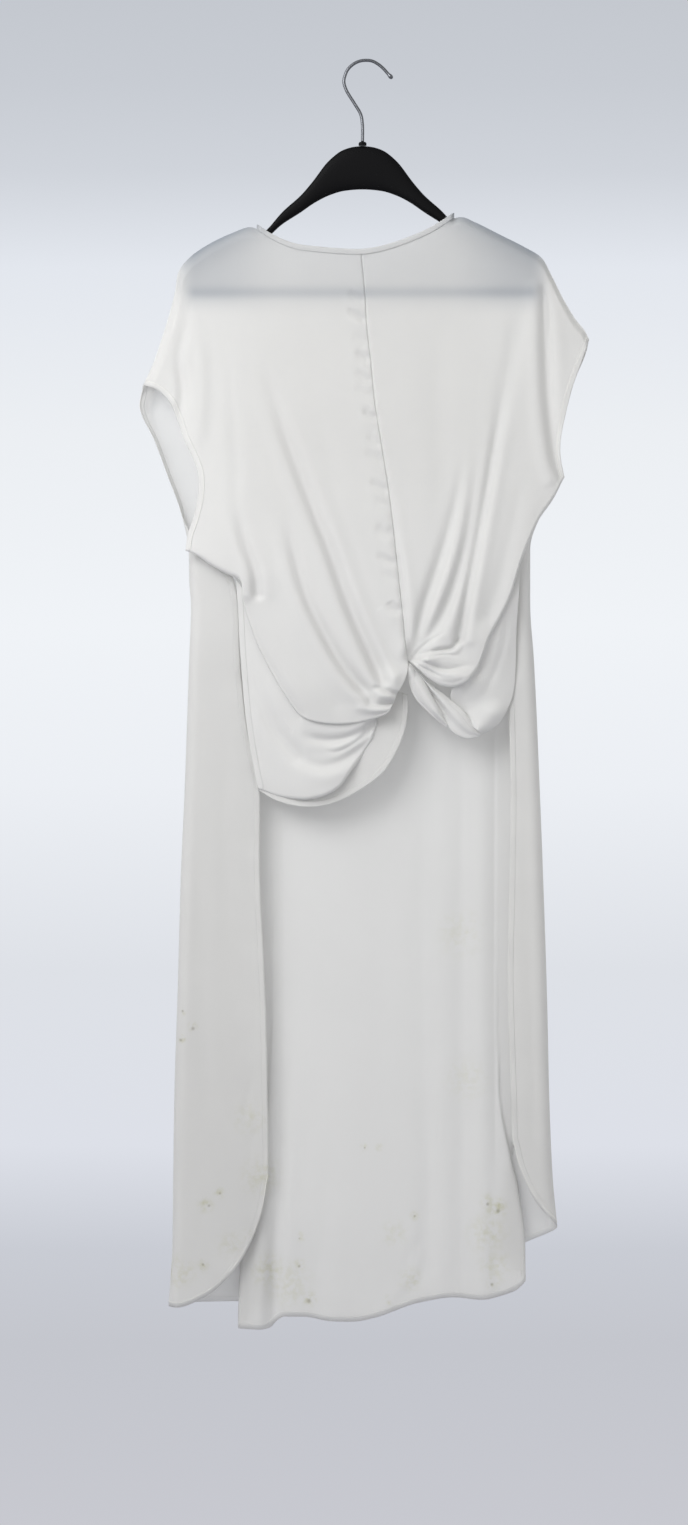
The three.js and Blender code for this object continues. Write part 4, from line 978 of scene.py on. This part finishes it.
depth = 9.8 + swell + 5 * smooth((v - 0.8) / 0.2)[:, None]
close = np.exp(-(away / 24) ** 2) * smooth((v - 0.05) / 0.2)[:, None]
depth = depth + 6 * np.exp(-((x - 141) / 15) ** 2 - ((z + 716) / 11) ** 2)
depth = depth + np.maximum(behind_edge - depth, 0) * close - fold_depth(LOOP_FOLDS, x, z)
loop_points = np.stack([x, -depth, z], -1)
cloth("front_right_loop_cloth", loop_points, ["front_right_loop"],
      layers=2)

STRAND_TOP = [(47, -662), (58, -674), (70, -685.4), (88.4, -699.5), (104.8, -713.5),
              (118.9, -731), (127, -738)]
STRAND_MIDDLE = [(46, -664), (60.2, -678.4), (72, -699.5), (81.4, -715.9), (88.4, -728.8)]
STRAND_LOWER = [*STRAND_MIDDLE, (97.8, -738), (109.5, -742.9), (124, -741)]
STRAND_EDGE = [(45.5, -667), (46.2, -677), (53.2, -697), (65, -711), (79, -724), (88, -731)]
for name, cad, above, below, area, hem_row in (
        ("twist_strand_upper", "twist_tail_upper", STRAND_TOP, STRAND_LOWER, 0.0023, 0),
        ("twist_strand_lower", "twist_tail_lower", STRAND_MIDDLE, STRAND_EDGE, 0.0016, -1)):
    u, v = np.linspace(0, 1, 130), np.linspace(0, 1, 34)
    flat = between(above, below, u, v)
    hump = 5 * np.sin(np.pi * v)[:, None] * np.sin(np.pi * np.clip(u, 0.04, 0.97))[None] ** 0.5
    if hem_row == 0:
        hump = hump - 5 * np.exp(-((v - 0.75) / 0.2) ** 2)[:, None] * np.sin(np.pi * u)[None]
    depth = (21.5 - hem_row * 3 + hump - 4 * smooth((u - 0.7) / 0.3)[None]
             + 4 * (1 - smooth(u / 0.2))[None])
    strand_points = np.stack([flat[..., 0], -depth, flat[..., 1]], -1)
    strand_roll = rolled_under(strand_points, np.full(len(u), 1.6), 8)
    cloth(name, np.concatenate([strand_points, strand_roll]), [cad], strand_points[hem_row],
          layers=2)
    if hem_row == -1:
        edge_stitches("strand_stitches", strand_points, "bottom", 3, -1)

# -------- neck binding
# A bias strip of the same crepe, folded over the neck edge in front and behind, and stitched
# down close to its lower edge.

BINDING_POINTS, BINDING_SIDES = 240, 20
BINDING_PROFILE = np.array([
    # forward of the panel, below the neck edge
    (0.8, -6), (0.95, -4.5), (0.95, -2), (0.85, -0.8), (0.5, -0.2), (0, 0), (-0.5, -0.2),
    (-0.8, -0.8), (-0.75, -3), (-0.7, -5.6),
])


def binding(k, lower, name, cad):
    """The strip folded over the neck curve: the profile carried along it. k is -1 in front
    of the hanger, 1 behind."""
    t = 0.012 + 0.976 * np.linspace(0, 1, BINDING_POINTS)
    curve = along(spline(NECK - (0, lower)), t)
    y = k * (1.5 + (FRONT_CLEAR - 1.5) * smooth(np.minimum(t, 1 - t) * 30))
    fold = along(spline(BINDING_PROFILE), np.linspace(0, 1, BINDING_SIDES))
    points = np.stack(np.broadcast_arrays(curve[:, 0], y[None] + k * fold[:, :1],
                                          curve[None, :, 1] + fold[:, 1:]), -1)
    cloth(name, points, [cad], wall=0.5)
    edge_stitches(name + "_stitches", points, "top", 1, k)


binding(-1, 0, "neck_binding_front_cloth", "neck_binding_front")
binding(1, 1, "neck_binding_back_cloth", "neck_binding_back")

# -------- surroundings
# A white paper backdrop with a pale floor, both glowing with painted light: the backdrop is
# brightest above its middle and darker towards the top and the floor. One large soft lamp
# stands in front to the left, and a weaker one to the right.

FLOOR_Z, GLOW_TOP = -1.8, 0.3  # metres; between them the paper's tone changes
paper, tree = material("white studio paper")
here = place_in(tree)
parted = node(tree, "SeparateXYZ", [("Vector", here)])
height = node(tree, "MapRange", [("Value", parted.outputs["Z"])], From_Min=FLOOR_Z,
              From_Max=GLOW_TOP)
glow = node(tree, "ValToRGB", [("Fac", height.outputs["Result"])])
# Painted light: the paper's glow by height, brightest above its middle and darker towards the top
# and the floor.
PAINTED_PAPER_GLOW = [
    # height in metres, colour
    (-1.75, "#c8c9d0"), (-1.5, "#c4c6cd"), (-1.38, "#c9ccd4"), (-1.25, "#dde0e8"),
    (-1.03, "#dee1e7"), (-0.8, "#ecefF4"), (-0.6, "#f0f3f7"), (-0.36, "#ecefF3"),
    (-0.15, "#e3e7ee"), (-0.03, "#d0d4db"), (0.08, "#c8ccd3"), (0.3, "#c0c4cb"),
]
for _ in range(len(PAINTED_PAPER_GLOW) - 2):
    glow.color_ramp.elements.new(0.5)
for stop, (z, colour) in zip(glow.color_ramp.elements, PAINTED_PAPER_GLOW):
    stop.position = (z - FLOOR_Z) / (GLOW_TOP - FLOOR_Z)
    stop.color = linear(colour)
# The paper glows with this painted light, though it is no lamp.
lit = node(tree, "Emission", [("Color", glow.outputs["Color"])], Strength=1.0)
surface(tree, lit.outputs["Emission"])


def sheet_of_paper(name, corners):
    """One flat sheet through four corners."""
    mesh = bpy.data.meshes.new(name)
    mesh.from_pydata(corners, [], [(0, 1, 2, 3)])
    mesh.materials.append(paper)
    made = bpy.data.objects.new(name, mesh)
    bpy.context.scene.collection.objects.link(made)


sheet_of_paper("backdrop", [(-4, 0.5, FLOOR_Z), (4, 0.5, FLOOR_Z), (4, 0.5, 2.5),
                            (-4, 0.5, 2.5)])
sheet_of_paper("floor", [(-4, -4, FLOOR_Z), (4, -4, FLOOR_Z), (4, 0.5, FLOOR_Z),
                         (-4, 0.5, FLOOR_Z)])


def lamp(name, place, aim, size, power, colour="#ffffff"):
    """A soft rectangular lamp at a place, turned to face its aim."""
    data = bpy.data.lights.new(name, "AREA")
    data.shape, data.size, data.size_y = "RECTANGLE", size[0], size[1]
    data.energy, data.color = power, linear(colour)[:3]
    made = bpy.data.objects.new(name, data)
    made.location = place
    dx, dy, dz = np.array(aim, float) - np.array(place, float)
    made.rotation_euler = (math.acos(-dz / math.sqrt(dx * dx + dy * dy + dz * dz)), 0,
                           math.atan2(dy, dx) - math.pi / 2)
    bpy.context.scene.collection.objects.link(made)


lamp("front", (-1.0, -1.35, 0.4), (-0.05, 0, -0.43), (1.35, 1.2), 30)
lamp("side", (2.2, -1.8, 0.1), (0, 0, -0.7), (1.2, 1.8), 5)
world = bpy.data.worlds.new("studio")
world.use_nodes = True
world.node_tree.nodes["Background"].inputs["Color"].default_value = linear("#f5f5f2")
world.node_tree.nodes["Background"].inputs["Strength"].default_value = 0.735
bpy.context.scene.world = world
bpy.context.scene.view_settings.view_transform = "Standard"

CAMERA_DISTANCE = 3.6
FRAME_HEIGHT = 1.6775  # metres of the hanger's plane that the frame spans
FRAME_MIDDLE = (-0.0248, -0.7706)
SENSOR = 36
camera_data = bpy.data.cameras.new("camera")
camera_data.sensor_width = SENSOR
camera_data.lens = SENSOR * CAMERA_DISTANCE / FRAME_HEIGHT
camera = bpy.data.objects.new("camera", camera_data)
camera.location = (FRAME_MIDDLE[0], -CAMERA_DISTANCE, FRAME_MIDDLE[1])
camera.rotation_euler = (math.pi / 2, 0, 0)
bpy.context.scene.collection.objects.link(camera)
bpy.context.scene.camera = camera
